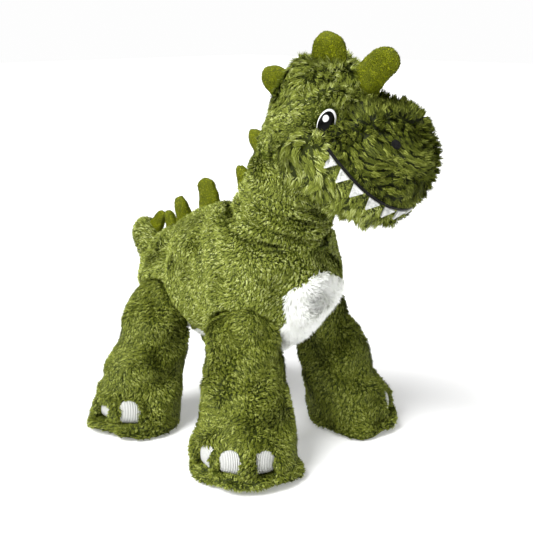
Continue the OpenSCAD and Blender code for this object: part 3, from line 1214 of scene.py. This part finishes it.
@dataclass
class Torso:
    """The body bag: the green skin and the white belly."""

    skin: Skin = field(
        default_factory=lambda: Skin(
            "torso_skin",
            ("torso_right", "torso_left", "belly", "torso_stuffing"),
            "torso",
            11,
            Nap.BODY,
            inset=0.0022,
            lump=0.0022,
        )
    )

    belly_lap: float = 0.009
    lap_fades: tuple[float, float] = (0.122, 0.100)
    belly_taper: tuple[float, float] = (0.04, 1.10)
    chest_z: float = 0.108
    hump: float = 0.0060
    hump_at: float = 0.055
    hump_width: float = 0.034
    rim: float = 0.0030
    rim_reach: tuple[float, float] = (0.034, 0.052)

    def build(self) -> None:
        """Forms the bag, raises its back behind the neck and rolls its cloth over the hips."""
        self.skin.form()
        ob = self.skin.ob
        places, ways = points_of(ob), normals_of(ob)
        neck = np.array(joint("neck_nod")["pos_m"])
        behind = places[:, 1] - neck[1]
        rise = np.exp(-(((behind - self.hump_at) / self.hump_width) ** 2))
        rise *= self.hump * ease(ways[:, 2], 0.2, 0.8)
        rise += self.rim * self.near_hips(places)
        place(ob, places + ways * rise[:, None])

    def near_hips(self, places: Rows) -> Rows:
        """Share from 0 to 1 of closeness to the nearest hip.

        Args:
            places: Points, one a row, in metres.

        Returns:
            One share a point.
        """
        near = np.zeros(len(places))
        for name in HIP_JOINTS.values():
            pivot = np.array(joint(name)["pos_m"])
            near = np.maximum(near, 1 - away_from(places, pivot, *self.rim_reach))
        return near

    def dress(self, pile: PileTree, neighbours: Sequence[BVHTree]) -> None:
        """Brushes and grows the pile, with the belly as its own white piece.

        Args:
            pile: The tree that grows the pile.
            neighbours: Search trees of the skins that lie against this one.
        """
        ob = self.skin.ob
        share = 0.75 + 0.25 * clear_of(ob, neighbours, 0.003)
        self.skin.brush(self.comb, share)
        belly = self.part_belly()
        self.skin.dress(pile)
        self.skin.declare("green_plush", "torso_right", "torso_left", "torso_stuffing")
        belly.dress(pile)
        belly.declare("white_plush", "belly")

    def comb(self, places: Rows, ways: Rows) -> Rows:
        """Backward along the back, down the flanks and over the hips."""
        down = 0.15 + 0.45 * ease(np.abs(places[:, 0]), 0.01, 0.05) + 0.5 * self.near_hips(places)
        return np.stack([0 * down, 0.45 + 0 * down, -down], axis=1)

    def part_belly(self) -> Skin:
        """Splits the faces that lie on the white belly cloth off into their own skin.

        Returns:
            The belly's skin.
        """
        ob = self.skin.ob
        belly_tree = tree_of_nodes("belly")
        green_tree = tree_of_nodes("torso_right", "torso_left")
        faces = np.array([f.center for f in ob.data.polygons])
        white = np.zeros(len(faces), bool)
        high = np.array(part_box("belly"))[1]
        least, most = self.belly_taper
        up = np.clip((faces[:, 2] - self.chest_z) / (high[2] - self.chest_z), 0, 1)
        inside = np.abs(faces[:, 0]) < high[0] * (least + most * np.sqrt(1 - up**3))
        for i, centre in enumerate(faces):
            to_white = belly_tree.find_nearest(Vector(centre))[3]
            to_green = green_tree.find_nearest(Vector(centre))[3]
            widened = self.belly_lap * float(ease(np.array(centre[2]), *self.lap_fades))
            white[i] = inside[i] and to_white < to_green + widened
        other = twin(ob, "belly_skin")
        keep_faces(ob, ~white)
        keep_faces(other, white)
        belly = Skin("belly_skin", ("belly",), "torso", 23, Nap.BELLY, WHITE_PLUSH, swirl=0.2)
        belly.ob = other
        return belly


def keep_faces(ob: bpy.types.Object, kept: Rows) -> None:
    """Deletes the faces of a mesh object that aren't kept, and the points that they leave loose.

    Args:
        ob: The mesh object.
        kept: One true or false a face.
    """
    work = bmesh.new()
    work.from_mesh(ob.data)
    work.faces.ensure_lookup_table()
    gone = [f for f, keep in zip(work.faces, kept) if not keep]
    bmesh.ops.delete(work, geom=gone, context="FACES")
    work.to_mesh(ob.data)
    work.free()
    ob.data.update()


@dataclass
class Neck:
    """The neck: its foot is gathered where it meets the body and its top reaches into the head."""

    skin: Skin = field(
        default_factory=lambda: Skin(
            "neck_skin", ("neck_right", "neck_left", "neck_stuffing"), "neck", 31, Nap.BODY
        )
    )
    back_slim: float = 0.0040
    reach_in: float = 0.012
    flare: float = 0.0065
    gather: float = 0.0036
    gather_step: float = 0.0110
    gather_slant: float = 0.12
    top_tuck: float = 0.0015

    def build(self) -> None:
        """Forms the neck and flares its foot in gathers."""
        self.skin.form()
        hinge = joint("neck_nod")
        turn = joint("head_turn")
        centre = np.array(hinge["pos_m"])
        axis = unit(np.array(turn["axis"]))
        places = points_of(self.skin.ob)
        away = places - centre
        height = away @ axis
        side = away - height[:, None] * axis
        flare = self.flare * ease(height, 0.034, 0.004) * ease(height, -0.030, -0.008)
        phase = (height + self.gather_slant * side[:, 0]) / self.gather_step * 2 * math.pi
        gather = self.gather * np.sin(phase)
        gather *= ease(height, -0.004, 0.006) * ease(height, 0.044, 0.026)
        front = 0.5 - 0.5 * unit(side)[:, 1]
        gather *= 0.35 + 0.65 * front
        slim = -self.back_slim * (1 - front) * ease(height, 0.010, 0.030)
        top = ease(height, height.max() - 0.014, height.max())
        places += unit(side) * (flare * front + gather + slim - self.top_tuck * top)[:, None]
        places += axis * (self.reach_in * top)[:, None]
        place(self.skin.ob, places)

    def dress(self, pile: PileTree, neighbours: Sequence[BVHTree]) -> None:
        """Brushes and grows the pile.

        Args:
            pile: The tree that grows the pile.
            neighbours: Search trees of the skins that lie against this one.
        """
        skin = self.skin
        share = 0.3 + 0.7 * clear_of(skin.ob, neighbours, 0.004)
        skin.brush(brushed(0, 0.25, -0.6), share)
        skin.dress(pile)
        skin.declare("green_plush", *skin.nodes)


@dataclass
class Head:
    """The head: skull, muzzle and jaw skins, with the mouth, the eyes and the nostrils."""

    skull: Skin = field(
        default_factory=lambda: Skin(
            "skull_skin", ("head_right", "head_left", "head_stuffing"), "head", 41, Nap.HEAD
        )
    )
    muzzle: Skin = field(
        default_factory=lambda: Skin(
            "muzzle_skin",
            ("muzzle", "muzzle_stuffing"),
            "head",
            43,
            Nap.MUZZLE,
            SHADED_SHAGGY_PLUSH,
            inset=0.0026,
        )
    )
    jaw: Skin = field(
        default_factory=lambda: Skin(
            "jaw_skin", ("jaw", "jaw_stuffing"), "head", 47, Nap.JAW, inset=-0.0030
        )
    )
    hem: float = 0.0080
    hem_tuck: float = 0.0045
    back_slim: float = 0.0038
    jaw_back: float = 0.0055
    brow_depth: float = 0.0065
    brow_lip: float = 0.0026
    brow_lip_at: float = 0.008
    brow_width: float = 0.0030
    brow_reach: float = 0.021
    brow_above_eye: float = 0.004
    skull_bare: tuple[float, float] = (0.010, 0.018)
    muzzle_bare: tuple[float, float] = (0.006, 0.012)
    nostril_bare: tuple[float, float] = (0.003, 0.008)

    def build(self) -> None:
        """Forms the three bags."""
        for skin in (self.skull, self.muzzle, self.jaw):
            skin.form()
        ob = self.skull.ob
        places, ways = points_of(ob), normals_of(ob)
        gap = self.brow_gap(places)
        fold = -self.brow_depth * np.exp(-((gap / self.brow_width) ** 2))
        fold += self.brow_lip * np.exp(-(((gap - self.brow_lip_at) / self.brow_width) ** 2))
        turn = joint("head_turn")
        axis = unit(np.array(turn["axis"]))
        away = places - np.array(turn["pos_m"])
        height = away @ axis
        low = ease(height, height.min() + 0.016, height.min())
        outward = unit(away - height[:, None] * axis)
        places -= axis * (self.hem * low)[:, None] + outward * (self.hem_tuck * low)[:, None]
        mark(ob, "hem", low)
        slim = self.back_slim * ease(-ways @ self.ahead, 0.2, 0.8)
        place(ob, places + ways * (fold - slim)[:, None])
        places = points_of(self.jaw.ob)
        along = (places - places.mean(0)) @ self.ahead
        back = ease(along, 0.0, along.min())
        place(self.jaw.ob, places - (self.jaw_back * back)[:, None] * self.ahead)

    @property
    def eye_height(self) -> float:
        """Height of the right eye's middle."""
        return float(middle("eye_right")[2])

    def brow_gap(self, places: Rows) -> Rows:
        """Distance of each point from the brow folds, one short arc above each eye.

        Args:
            places: Points, one a row, in metres.

        Returns:
            One distance a point, in metres.
        """
        nearest = np.full(len(places), 1.0)
        for side in ("right", "left"):
            centre = middle(f"eye_{side}") + UP * self.brow_above_eye
            out = self.side_out(side)
            for angle in np.radians(np.arange(50, 131, 4)):
                spot = centre + self.brow_reach * (math.sin(angle) * UP + math.cos(angle) * self.ahead)
                flat = places - spot
                flat -= 0.8 * (flat @ out)[:, None] * out
                on_side = (places - centre) @ out > -0.022
                gap = np.where(on_side, np.linalg.norm(flat, axis=1), 1.0)
                nearest = np.minimum(nearest, gap)
        return nearest

    @property
    def ahead(self) -> Rows:
        """The way the face looks, level: from the skull's middle to the muzzle's.

        Returns:
            A level direction of length one.
        """
        way = middle("muzzle") - (middle("head_right") + middle("head_left")) / 2
        way[2] = 0
        return unit(way)

    def side_out(self, side: str) -> Rows:
        """The way out of the head's side."""
        sign = -1 if side == "right" else 1
        return sign * np.cross(self.ahead, UP)

    def dress(self, pile: PileTree, neighbours: Sequence[BVHTree]) -> None:
        """Brushes and grows the three piles, clear of the eyes, the nostrils and the mouth.

        Args:
            pile: The tree that grows the pile.
            neighbours: Search trees of the skins that lie against this one.
        """
        trees = {s.name: tree_of(s.ob) for s in (self.skull, self.muzzle, self.jaw)}
        ahead = self.ahead
        lays = {
            "skull_skin": brushed(*(-0.35 * ahead - 0.55 * UP)),
            "muzzle_skin": brushed(*(0.25 * ahead - 0.30 * UP)),
            "jaw_skin": brushed(*(0.05 * ahead - 0.9 * UP)),
        }
        for skin in (self.skull, self.muzzle, self.jaw):
            others = [t for n, t in trees.items() if n != skin.name]
            share = clear_of(skin.ob, others + list(neighbours), 0.004)
            if skin is self.skull:
                share = np.maximum(share, 0.8 * marked(skin.ob, "hem"))
            places = points_of(skin.ob)
            bare = self.skull_bare if skin is self.skull else self.muzzle_bare
            for side in ("right", "left"):
                eye, nostril = middle(f"eye_{side}"), middle(f"nostril_{side}")
                share *= 0.15 + 0.85 * away_from(places, eye, *bare)
                share *= 0.35 + 0.65 * away_from(places, nostril, *self.nostril_bare)
            share *= self.clear_of_teeth(places)
            if skin is self.skull:
                share *= 0.60 + 0.40 * ease(places[:, 2], self.eye_height, self.eye_height + 0.020)
                # Along the brow folds the pile is cut short, so the dark backing shows there as painted
                # shade.
                share *= 1 - 0.8 * np.exp(-((self.brow_gap(places) / 0.0028) ** 2))
            skin.brush(lays[skin.name], share)
        for skin in (self.skull, self.muzzle, self.jaw):
            skin.dress(pile)
            skin.declare("green_plush", *skin.nodes)

    def clear_of_teeth(self, places: Rows) -> Rows:
        """Pile share that stays short right behind the teeth and the piping.

        Args:
            places: Points, one a row, in metres.

        Returns:
            One share a point.
        """
        share = np.ones(len(places))
        tree = tree_of_nodes("teeth_right", "teeth_left", "mouth_piping")
        for i, p in enumerate(places):
            near = tree.find_nearest(Vector(p), 0.012)
            if near[3] is not None:
                share[i] = 0.45 + 0.55 * ease(np.array(near[3]), 0.0015, 0.007)
        return share

    def trim(self) -> None:
        """Dresses the teeth, the piping and the nostrils, and makes the eyes."""
        felt, thread = WHITE_FELT.material(), BLACK_THREAD.material()
        for name, material in (
            ("teeth_right", felt),
            ("teeth_left", felt),
            ("mouth_piping", thread),
            ("nostril_right", thread),
            ("nostril_left", thread),
        ):
            wear(name, material)
        materials = (EYE_BLACK.material(), EYE_GLINT.material())
        for side in ("right", "left"):
            Eye(side).build(self, materials)


@dataclass
class Eye:
    """One eye: a domed black oval with a white glint, on a white oval that shows as a rim."""

    side: str
    half_height: float = 0.0098
    half_width: float = 0.0060
    dome: float = 0.0030
    rim: float = 0.0009
    lean: float = 20.0
    drop: float = 0.0035
    level: float = 0.8
    rim_sunk: float = 0.0012
    rim_shift: float = 1.2
    rim_dome: float = 0.62
    glint_half: Size = (0.0023, 0.0027, 0.0007)
    glint_out: float = 0.86
    glint_up: float = 0.42
    glint_across: float = -0.12
    rings: int = 10
    spokes: int = 40

    def build(self, head: "Head", materials: Sequence[bpy.types.Material]) -> None:
        """Makes the two ovals of the eye and rides them on the head.

        Args:
            head: The head, whose skull skin the eye lies on.
            materials: The black and the white finish.
        """
        black, white = materials
        centre = middle(f"eye_{self.side}")
        skull = middle("head_right") / 2 + middle("head_left") / 2
        sign = -1 if self.side == "right" else 1
        outward = centre - skull
        outward = unit(outward - UP * (outward @ UP) * self.level)
        centre = centre - UP * self.drop
        up = unit(UP - outward * (UP @ outward))
        across = np.cross(up, outward)
        turn = math.radians(self.lean) * sign
        tall = up * math.cos(turn) - across * math.sin(turn)
        broad = np.cross(tall, outward)
        frame_rows = np.stack([broad, tall, outward])
        shift = self.rim_shift * self.rim * (0.5 * up + 0.85 * head.ahead)
        rim = self.oval(
            f"eye_rim_{self.side}",
            centre - outward * self.rim_sunk + shift,
            frame_rows,
            (self.half_width + self.rim, self.half_height + self.rim, self.dome * self.rim_dome),
            white,
        )
        eye = self.oval(
            f"eye_black_{self.side}",
            centre,
            frame_rows,
            (self.half_width, self.half_height, self.dome),
            black,
        )
        glint_at = centre + outward * self.dome * self.glint_out
        glint_at = glint_at + up * self.half_height * self.glint_up
        glint_at += across * self.half_width * self.glint_across
        glint = self.oval(f"glint_{self.side}", glint_at, frame_rows, self.glint_half, white)
        join(eye, [glint])
        for ob, node, slot in ((rim, "eye_white", "white_felt"), (eye, "eye", "eye_black")):
            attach(ob, "head")
            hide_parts(f"{node}_{self.side}")
            LOG.info("%s: %d faces on head", ob.name, len(ob.data.polygons))

    def oval(
        self, name: str, centre: Rows, rows: Rows, half: Size, material: bpy.types.Material
    ) -> bpy.types.Object:
        """A closed oval button, domed in front and shallow behind.

        Args:
            name: The piece's name.
            centre: Where its middle is.
            rows: Its sideways, upward and outward directions, one a row.
            half: Half its width, half its height and the height of its dome.
            material: Its finish.

        Returns:
            The new piece.
        """
        points, faces = [], []
        levels = np.linspace(-0.5, 1, self.rings) * math.pi / 2
        for level in levels[:-1]:
            reach, rise = math.cos(level), math.sin(level)
            for k in range(self.spokes):
                angle = 2 * math.pi * k / self.spokes
                spot = (half[0] * reach * math.cos(angle), half[1] * reach * math.sin(angle))
                points.append((*spot, half[2] * rise))
        points += [(0, 0, half[2]), (0, 0, half[2] * math.sin(levels[0]))]
        last = (self.rings - 2) * self.spokes
        for k in range(self.spokes):
            after = (k + 1) % self.spokes
            for ring in range(self.rings - 2):
                low, high = ring * self.spokes, (ring + 1) * self.spokes
                faces.append((low + k, low + after, high + after, high + k))
            faces.append((last + k, last + after, len(points) - 2))
            faces.append((after, k, len(points) - 1))
        ob = new_object(name, np.array(points) @ rows + centre, faces)
        smooth_shade(ob)
        ob.data.materials.append(material)
        return ob


def wear(node: str, material: bpy.types.Material) -> None:
    """Gives a carried-over CAD node one finish.

    Args:
        node: The CAD node.
        material: Its finish.
    """
    data = frame["nodes"][node].data
    data.materials.clear()
    data.materials.append(material)


@dataclass
class Claws:
    """The three knitted claw pads of a foot, set back in their openings."""

    tag: str
    toes: Rows
    foot: Rows
    half_width: float = 0.0118
    half_height: float = 0.0116
    depth: float = 0.0052
    sunk: float = 0.0064
    square: float = 0.55
    flat: float = 0.82
    knit_scale: float = 1.25
    rings: int = 14
    spokes: int = 32
    ob: bpy.types.Object = field(default=None)

    def centres(self) -> list[Rows]:
        """The middles of the three claws, told apart by their bearing from the foot's middle.

        Returns:
            The three middles, in order round the foot.
        """
        probe = from_nodes("claw_probe", (f"claws_{self.tag}",))
        places = points_of(probe)
        bpy.data.objects.remove(probe)
        side = np.cross(UP, self.toes)
        away = places - self.foot
        bearing = np.arctan2(away @ side, away @ self.toes)
        order = np.argsort(bearing)
        cuts = np.sort(np.argsort(np.diff(bearing[order]))[-2:] + 1)
        groups = np.split(order, cuts)
        return [(places[g].min(0) + places[g].max(0)) / 2 for g in groups]

    def build(self) -> None:
        """Makes the three pads as one piece, with a flat map for the knit."""
        points, faces, flat = [], [], []
        for middle_at in self.centres():
            outward = unit((middle_at - self.foot) * (1, 1, 0))
            across = np.cross(UP, outward)
            base = middle_at - outward * self.sunk
            start = len(points)
            for ring in range(self.rings + 1):
                polar = math.pi * ring / self.rings
                for k in range(self.spokes):
                    x, y = self.arch(2 * math.pi * k / self.spokes)
                    x, y = x * math.sin(polar), y * math.sin(polar)
                    z = math.cos(polar)
                    points.append(
                        base
                        + across * x * self.half_width
                        + UP * y * self.half_height
                        + outward * z * self.depth
                    )
                    sizes = (x * self.half_width, y * self.half_height)
                    flat.append(tuple(part * self.knit_scale for part in sizes))
            for ring in range(self.rings):
                for k in range(self.spokes):
                    a, b = start + ring * self.spokes, start + (ring + 1) * self.spokes
                    after = (k + 1) % self.spokes
                    faces.append((a + k, b + k, b + after, a + after))
        self.ob = new_object(f"claw_pads_{self.tag}", np.array(points), faces)
        layer = self.ob.data.uv_layers.new(name="knit")
        corners = np.empty(len(self.ob.data.loops), int)
        self.ob.data.loops.foreach_get("vertex_index", corners)
        layer.data.foreach_set("uv", np.array(flat, np.float32)[corners].ravel())
        smooth_shade(self.ob)
        close_poles(self.ob)
        self.ob.data.materials.append(RIB_KNIT.material())

    def arch(self, angle: float) -> tuple[float, float]:
        """The pad's outline at an angle: round above, squarer and flatter below.

        Args:
            angle: The angle round the pad, from its side.

        Returns:
            The place, in shares of the half width and half height.
        """
        x, y = math.cos(angle), math.sin(angle)
        if y >= 0:
            return x, y
        return math.copysign(abs(x) ** self.square, x), -self.flat * abs(y) ** self.square

    def declare(self) -> None:
        """Rides the pads on their leg."""
        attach(self.ob, f"leg_{self.tag}")
        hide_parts(f"claws_{self.tag}")
        LOG.info("%s: %d faces on leg_%s", self.ob.name, len(self.ob.data.polygons), self.tag)


def close_poles(ob: bpy.types.Object) -> None:
    """Merges points that lie on each other and turns every face outward.

    Args:
        ob: The mesh object.
    """
    work = bmesh.new()
    work.from_mesh(ob.data)
    bmesh.ops.remove_doubles(work, verts=work.verts, dist=DOUBLES)
    bmesh.ops.recalc_face_normals(work, faces=work.faces)
    work.to_mesh(ob.data)
    work.free()
    ob.data.update()


@dataclass
class Leg:
    """One leg: its skin with the rolled band at the sole, and its knitted claws."""

    tag: str
    seed: int
    slim: float = 0.25
    slim_between: tuple[float, float] = (0.122, 0.084)
    crumple: float = 0.0014
    crumple_size: float = 0.030
    crumple_squat: float = 2.4
    toe_reach: float = 0.046
    band: float = 0.0030
    groove: float = 0.0040
    groove_at: float = 0.0132
    groove_width: float = 0.0018
    lip: float = 0.0040
    lip_at: float = 0.024
    lip_width: float = 0.012
    skin: Skin = field(default=None)
    claws: "Claws" = field(default=None)

    def build(self) -> None:
        """Forms the leg's bag."""
        tag = self.tag
        self.skin = Skin(
            f"leg_skin_{tag}",
            (f"leg_plush_{tag}", f"sole_{tag}", f"leg_stuffing_{tag}"),
            f"leg_{tag}",
            self.seed,
            Nap.LEG,
            SHADED_LEG_PLUSH,
            voxel=0.0022,
            rounds=4,
        )
        self.skin.form()
        ob = self.skin.ob
        places, ways = points_of(ob), normals_of(ob)
        hinge = np.array(joint(HIP_JOINTS[tag])["pos_m"])
        foot = middle(f"sole_{tag}")
        toes = middle(f"claws_{tag}") - foot
        toes = unit(toes * (1, 1, 0))
        axis = foot + (hinge - foot) * (places[:, 2:3] / hinge[2])
        along = ((places - axis) * (1, 1, 0)) @ toes
        slim = self.slim * ease(places[:, 2], *self.slim_between)
        places -= (np.minimum(along, 0) * slim)[:, None] * toes
        squat = wander(places * (1, 1, self.crumple_squat), self.crumple_size, self.seed + 3)
        crumple = self.crumple * np.einsum("ij,ij->i", squat, ways)
        crumple *= ease(places[:, 2], 0.012, 0.03)
        front = ease(along / self.toe_reach, 0.1, 0.7)
        low = places[:, 2]
        band = self.band * ease(low, 0.0, 0.004) * ease(low, 0.0135, 0.0095)
        groove = -self.groove * np.exp(-(((low - self.groove_at) / self.groove_width) ** 2)) * front
        lip = self.lip * front * np.exp(-(((low - self.lip_at) / self.lip_width) ** 2))
        lip *= ease(low, 0.013, 0.017)
        rise = crumple + (band * (0.35 + 0.65 * front) + groove + lip) * ease(-ways[:, 2], 0.8, 0.4)
        places += ways * rise[:, None]
        places[:, 2] = np.maximum(places[:, 2], SLIVER)
        place(ob, places)
        self.claws = Claws(tag, toes, foot)
        self.claws.build()

    def dress(self, pile: PileTree, neighbours: Sequence[BVHTree]) -> None:
        """Brushes and grows the pile, clear of the claws, the floor and the body.

        Args:
            pile: The tree that grows the pile.
            neighbours: Search trees of the skins that lie against this one.
        """
        skin = self.skin
        share = 0.35 + 0.65 * clear_of(skin.ob, list(neighbours), 0.004)
        places, ways = points_of(skin.ob), normals_of(skin.ob)
        lap = ease(places[:, 2], 0.0130, 0.0105)
        bare = clear_of(skin.ob, [tree_of(self.claws.ob)], 0.0030)
        share *= np.maximum(0.15 + 0.85 * bare, lap)
        under = ease(-ways[:, 2], 0.55, 0.9) * ease(places[:, 2], 0.006, 0.002)
        share *= (1 - under) * (0.5 + 0.5 * ease(places[:, 2], 0.001, 0.006))
        skin.brush(self.comb, share)
        skin.dress(pile)
        skin.declare("green_plush", *skin.nodes)
        self.claws.declare()

    def comb(self, places: Rows, ways: Rows) -> Rows:
        """Down the leg, turning level and a little up just above the floor."""
        down = 0.6 * ease(places[:, 2], 0.005, 0.016) - 0.35 * ease(places[:, 2], 0.010, 0.002)
        return np.stack([0 * down, 0.1 + 0 * down, -down], axis=1)


@dataclass
class Tail:
    """The tail stub."""

    skin: Skin = field(
        default_factory=lambda: Skin(
            "tail_skin",
            ("tail_plush", "tail_stuffing"),
            "tail",
            91,
            Nap.LEG,
            voxel=0.0022,
            inset=0.0015,
        )
    )

    def build(self) -> None:
        """Forms the stub."""
        self.skin.form()

    def dress(self, pile: PileTree, neighbours: Sequence[BVHTree]) -> None:
        """Brushes and grows the pile.

        Args:
            pile: The tree that grows the pile.
            neighbours: Search trees of the skins that lie against this one.
        """
        skin = self.skin
        skin.brush(brushed(0, 0.5, 0.1), clear_of(skin.ob, neighbours, 0.005))
        skin.dress(pile)
        skin.declare("green_plush", *skin.nodes)


SPIKES = {
    "spike_brow": ("head", 0.0),
    "spike_crown": ("head", 0.001),
    "spike_nape": ("head", 0.003),
    "spike_neck": ("neck", 0.001),
    "spike_shoulder": ("neck", -0.004),
    "spike_back_1": ("torso", 0.0),
    "spike_back_2": ("torso", 0.0),
    "spike_back_3": ("torso", 0.0),
    "spike_tail": ("tail", 0.0),
}


@dataclass
class Spike:
    """One velour spike, sewn round its edge and lightly stuffed."""

    node: str
    body: str
    seed: int
    sideways: Rows
    under: BVHTree
    inward: float
    sink: float = 0.0045
    seam: float = 0.0011
    seam_width: float = 0.0008
    parting_width: float = 0.0009
    skin: Skin = field(default=None)

    def build(self) -> None:
        """Forms the spike and draws its edge seam in."""
        self.skin = Skin(
            f"{self.node}_skin",
            (self.node,),
            self.body,
            self.seed,
            Nap.VELOUR,
            SPIKE_VELOUR,
            voxel=0.0011,
            rounds=4,
            inset=-0.0005,
            lump=0.0004,
            lump_size=0.012,
            swirl=0.3,
            fill=0.5,
        )
        self.skin.form()
        ob = self.skin.ob
        places, ways = points_of(ob), normals_of(ob)
        across = (places - middle(self.node)) @ self.sideways
        groove = -self.seam * np.exp(-((across / self.seam_width) ** 2))
        places += ways * groove[:, None]
        foot = np.array(self.under.find_nearest(Vector(middle(self.node)))[0])
        out = unit(middle(self.node) - foot)
        height = (places - foot) @ out
        share = 1 - np.clip((height - height.min()) / np.ptp(height), 0, 1)
        gap = max(0.0, float(height.min()) - self.inward)
        place(ob, places - (self.inward + (gap + self.sink) * share)[:, None] * out)

    def dress(self, pile: PileTree) -> None:
        """Brushes and grows the short nap.

        Args:
            pile: The tree that grows the pile.
        """
        places = points_of(self.skin.ob)
        across = (places - middle(self.node)) @ self.sideways
        share = 1 - 0.6 * np.exp(-((across / self.parting_width) ** 2))
        self.skin.brush(brushed(0, 0.2, 0.3), share)
        self.skin.dress(pile)
        self.skin.declare("spike_velour", self.node)


def main() -> None:
    """Builds the studio and the toy."""
    logging.basicConfig(level=logging.INFO, format="%(name)s: %(message)s")
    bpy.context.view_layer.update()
    Studio().build()
    pile = PileTree()
    torso, neck, head, tail = Torso(), Neck(), Head(), Tail()
    legs = [Leg(tag, LEG_SEED + 4 * i) for i, tag in enumerate(HIP_JOINTS)]
    for part in (torso, neck, head, tail, *legs):
        part.build()
    torso_tree, neck_tree = tree_of(torso.skin.ob), tree_of(neck.skin.ob)
    leg_trees = [tree_of(leg.skin.ob) for leg in legs]
    skull_tree = tree_of(head.skull.ob)
    tail_tree = tree_of(tail.skin.ob)
    for leg in legs:
        leg.dress(pile, [torso_tree])
    neck.dress(pile, [torso_tree, skull_tree])
    head.dress(pile, [neck_tree])
    head.trim()
    tail.dress(pile, [torso_tree])
    torso.dress(pile, [*leg_trees, neck_tree, tail_tree])
    side = np.cross(head.ahead, UP)
    under = {"head": skull_tree, "neck": neck_tree, "torso": torso_tree, "tail": tail_tree}
    for i, (node, (body, inward)) in enumerate(SPIKES.items()):
        across = side if body == "head" else np.array((1.0, 0, 0))
        spike = Spike(node, body, SPIKE_SEED + i, across, under[body], inward)
        spike.build()
        spike.dress(pile)
    pile.clear()
    total = sum(len(o.data.polygons) for o in bpy.data.objects if o.type == "MESH")
    LOG.info("faces in all: %d", total)


if __name__ == "__main__":
    main()
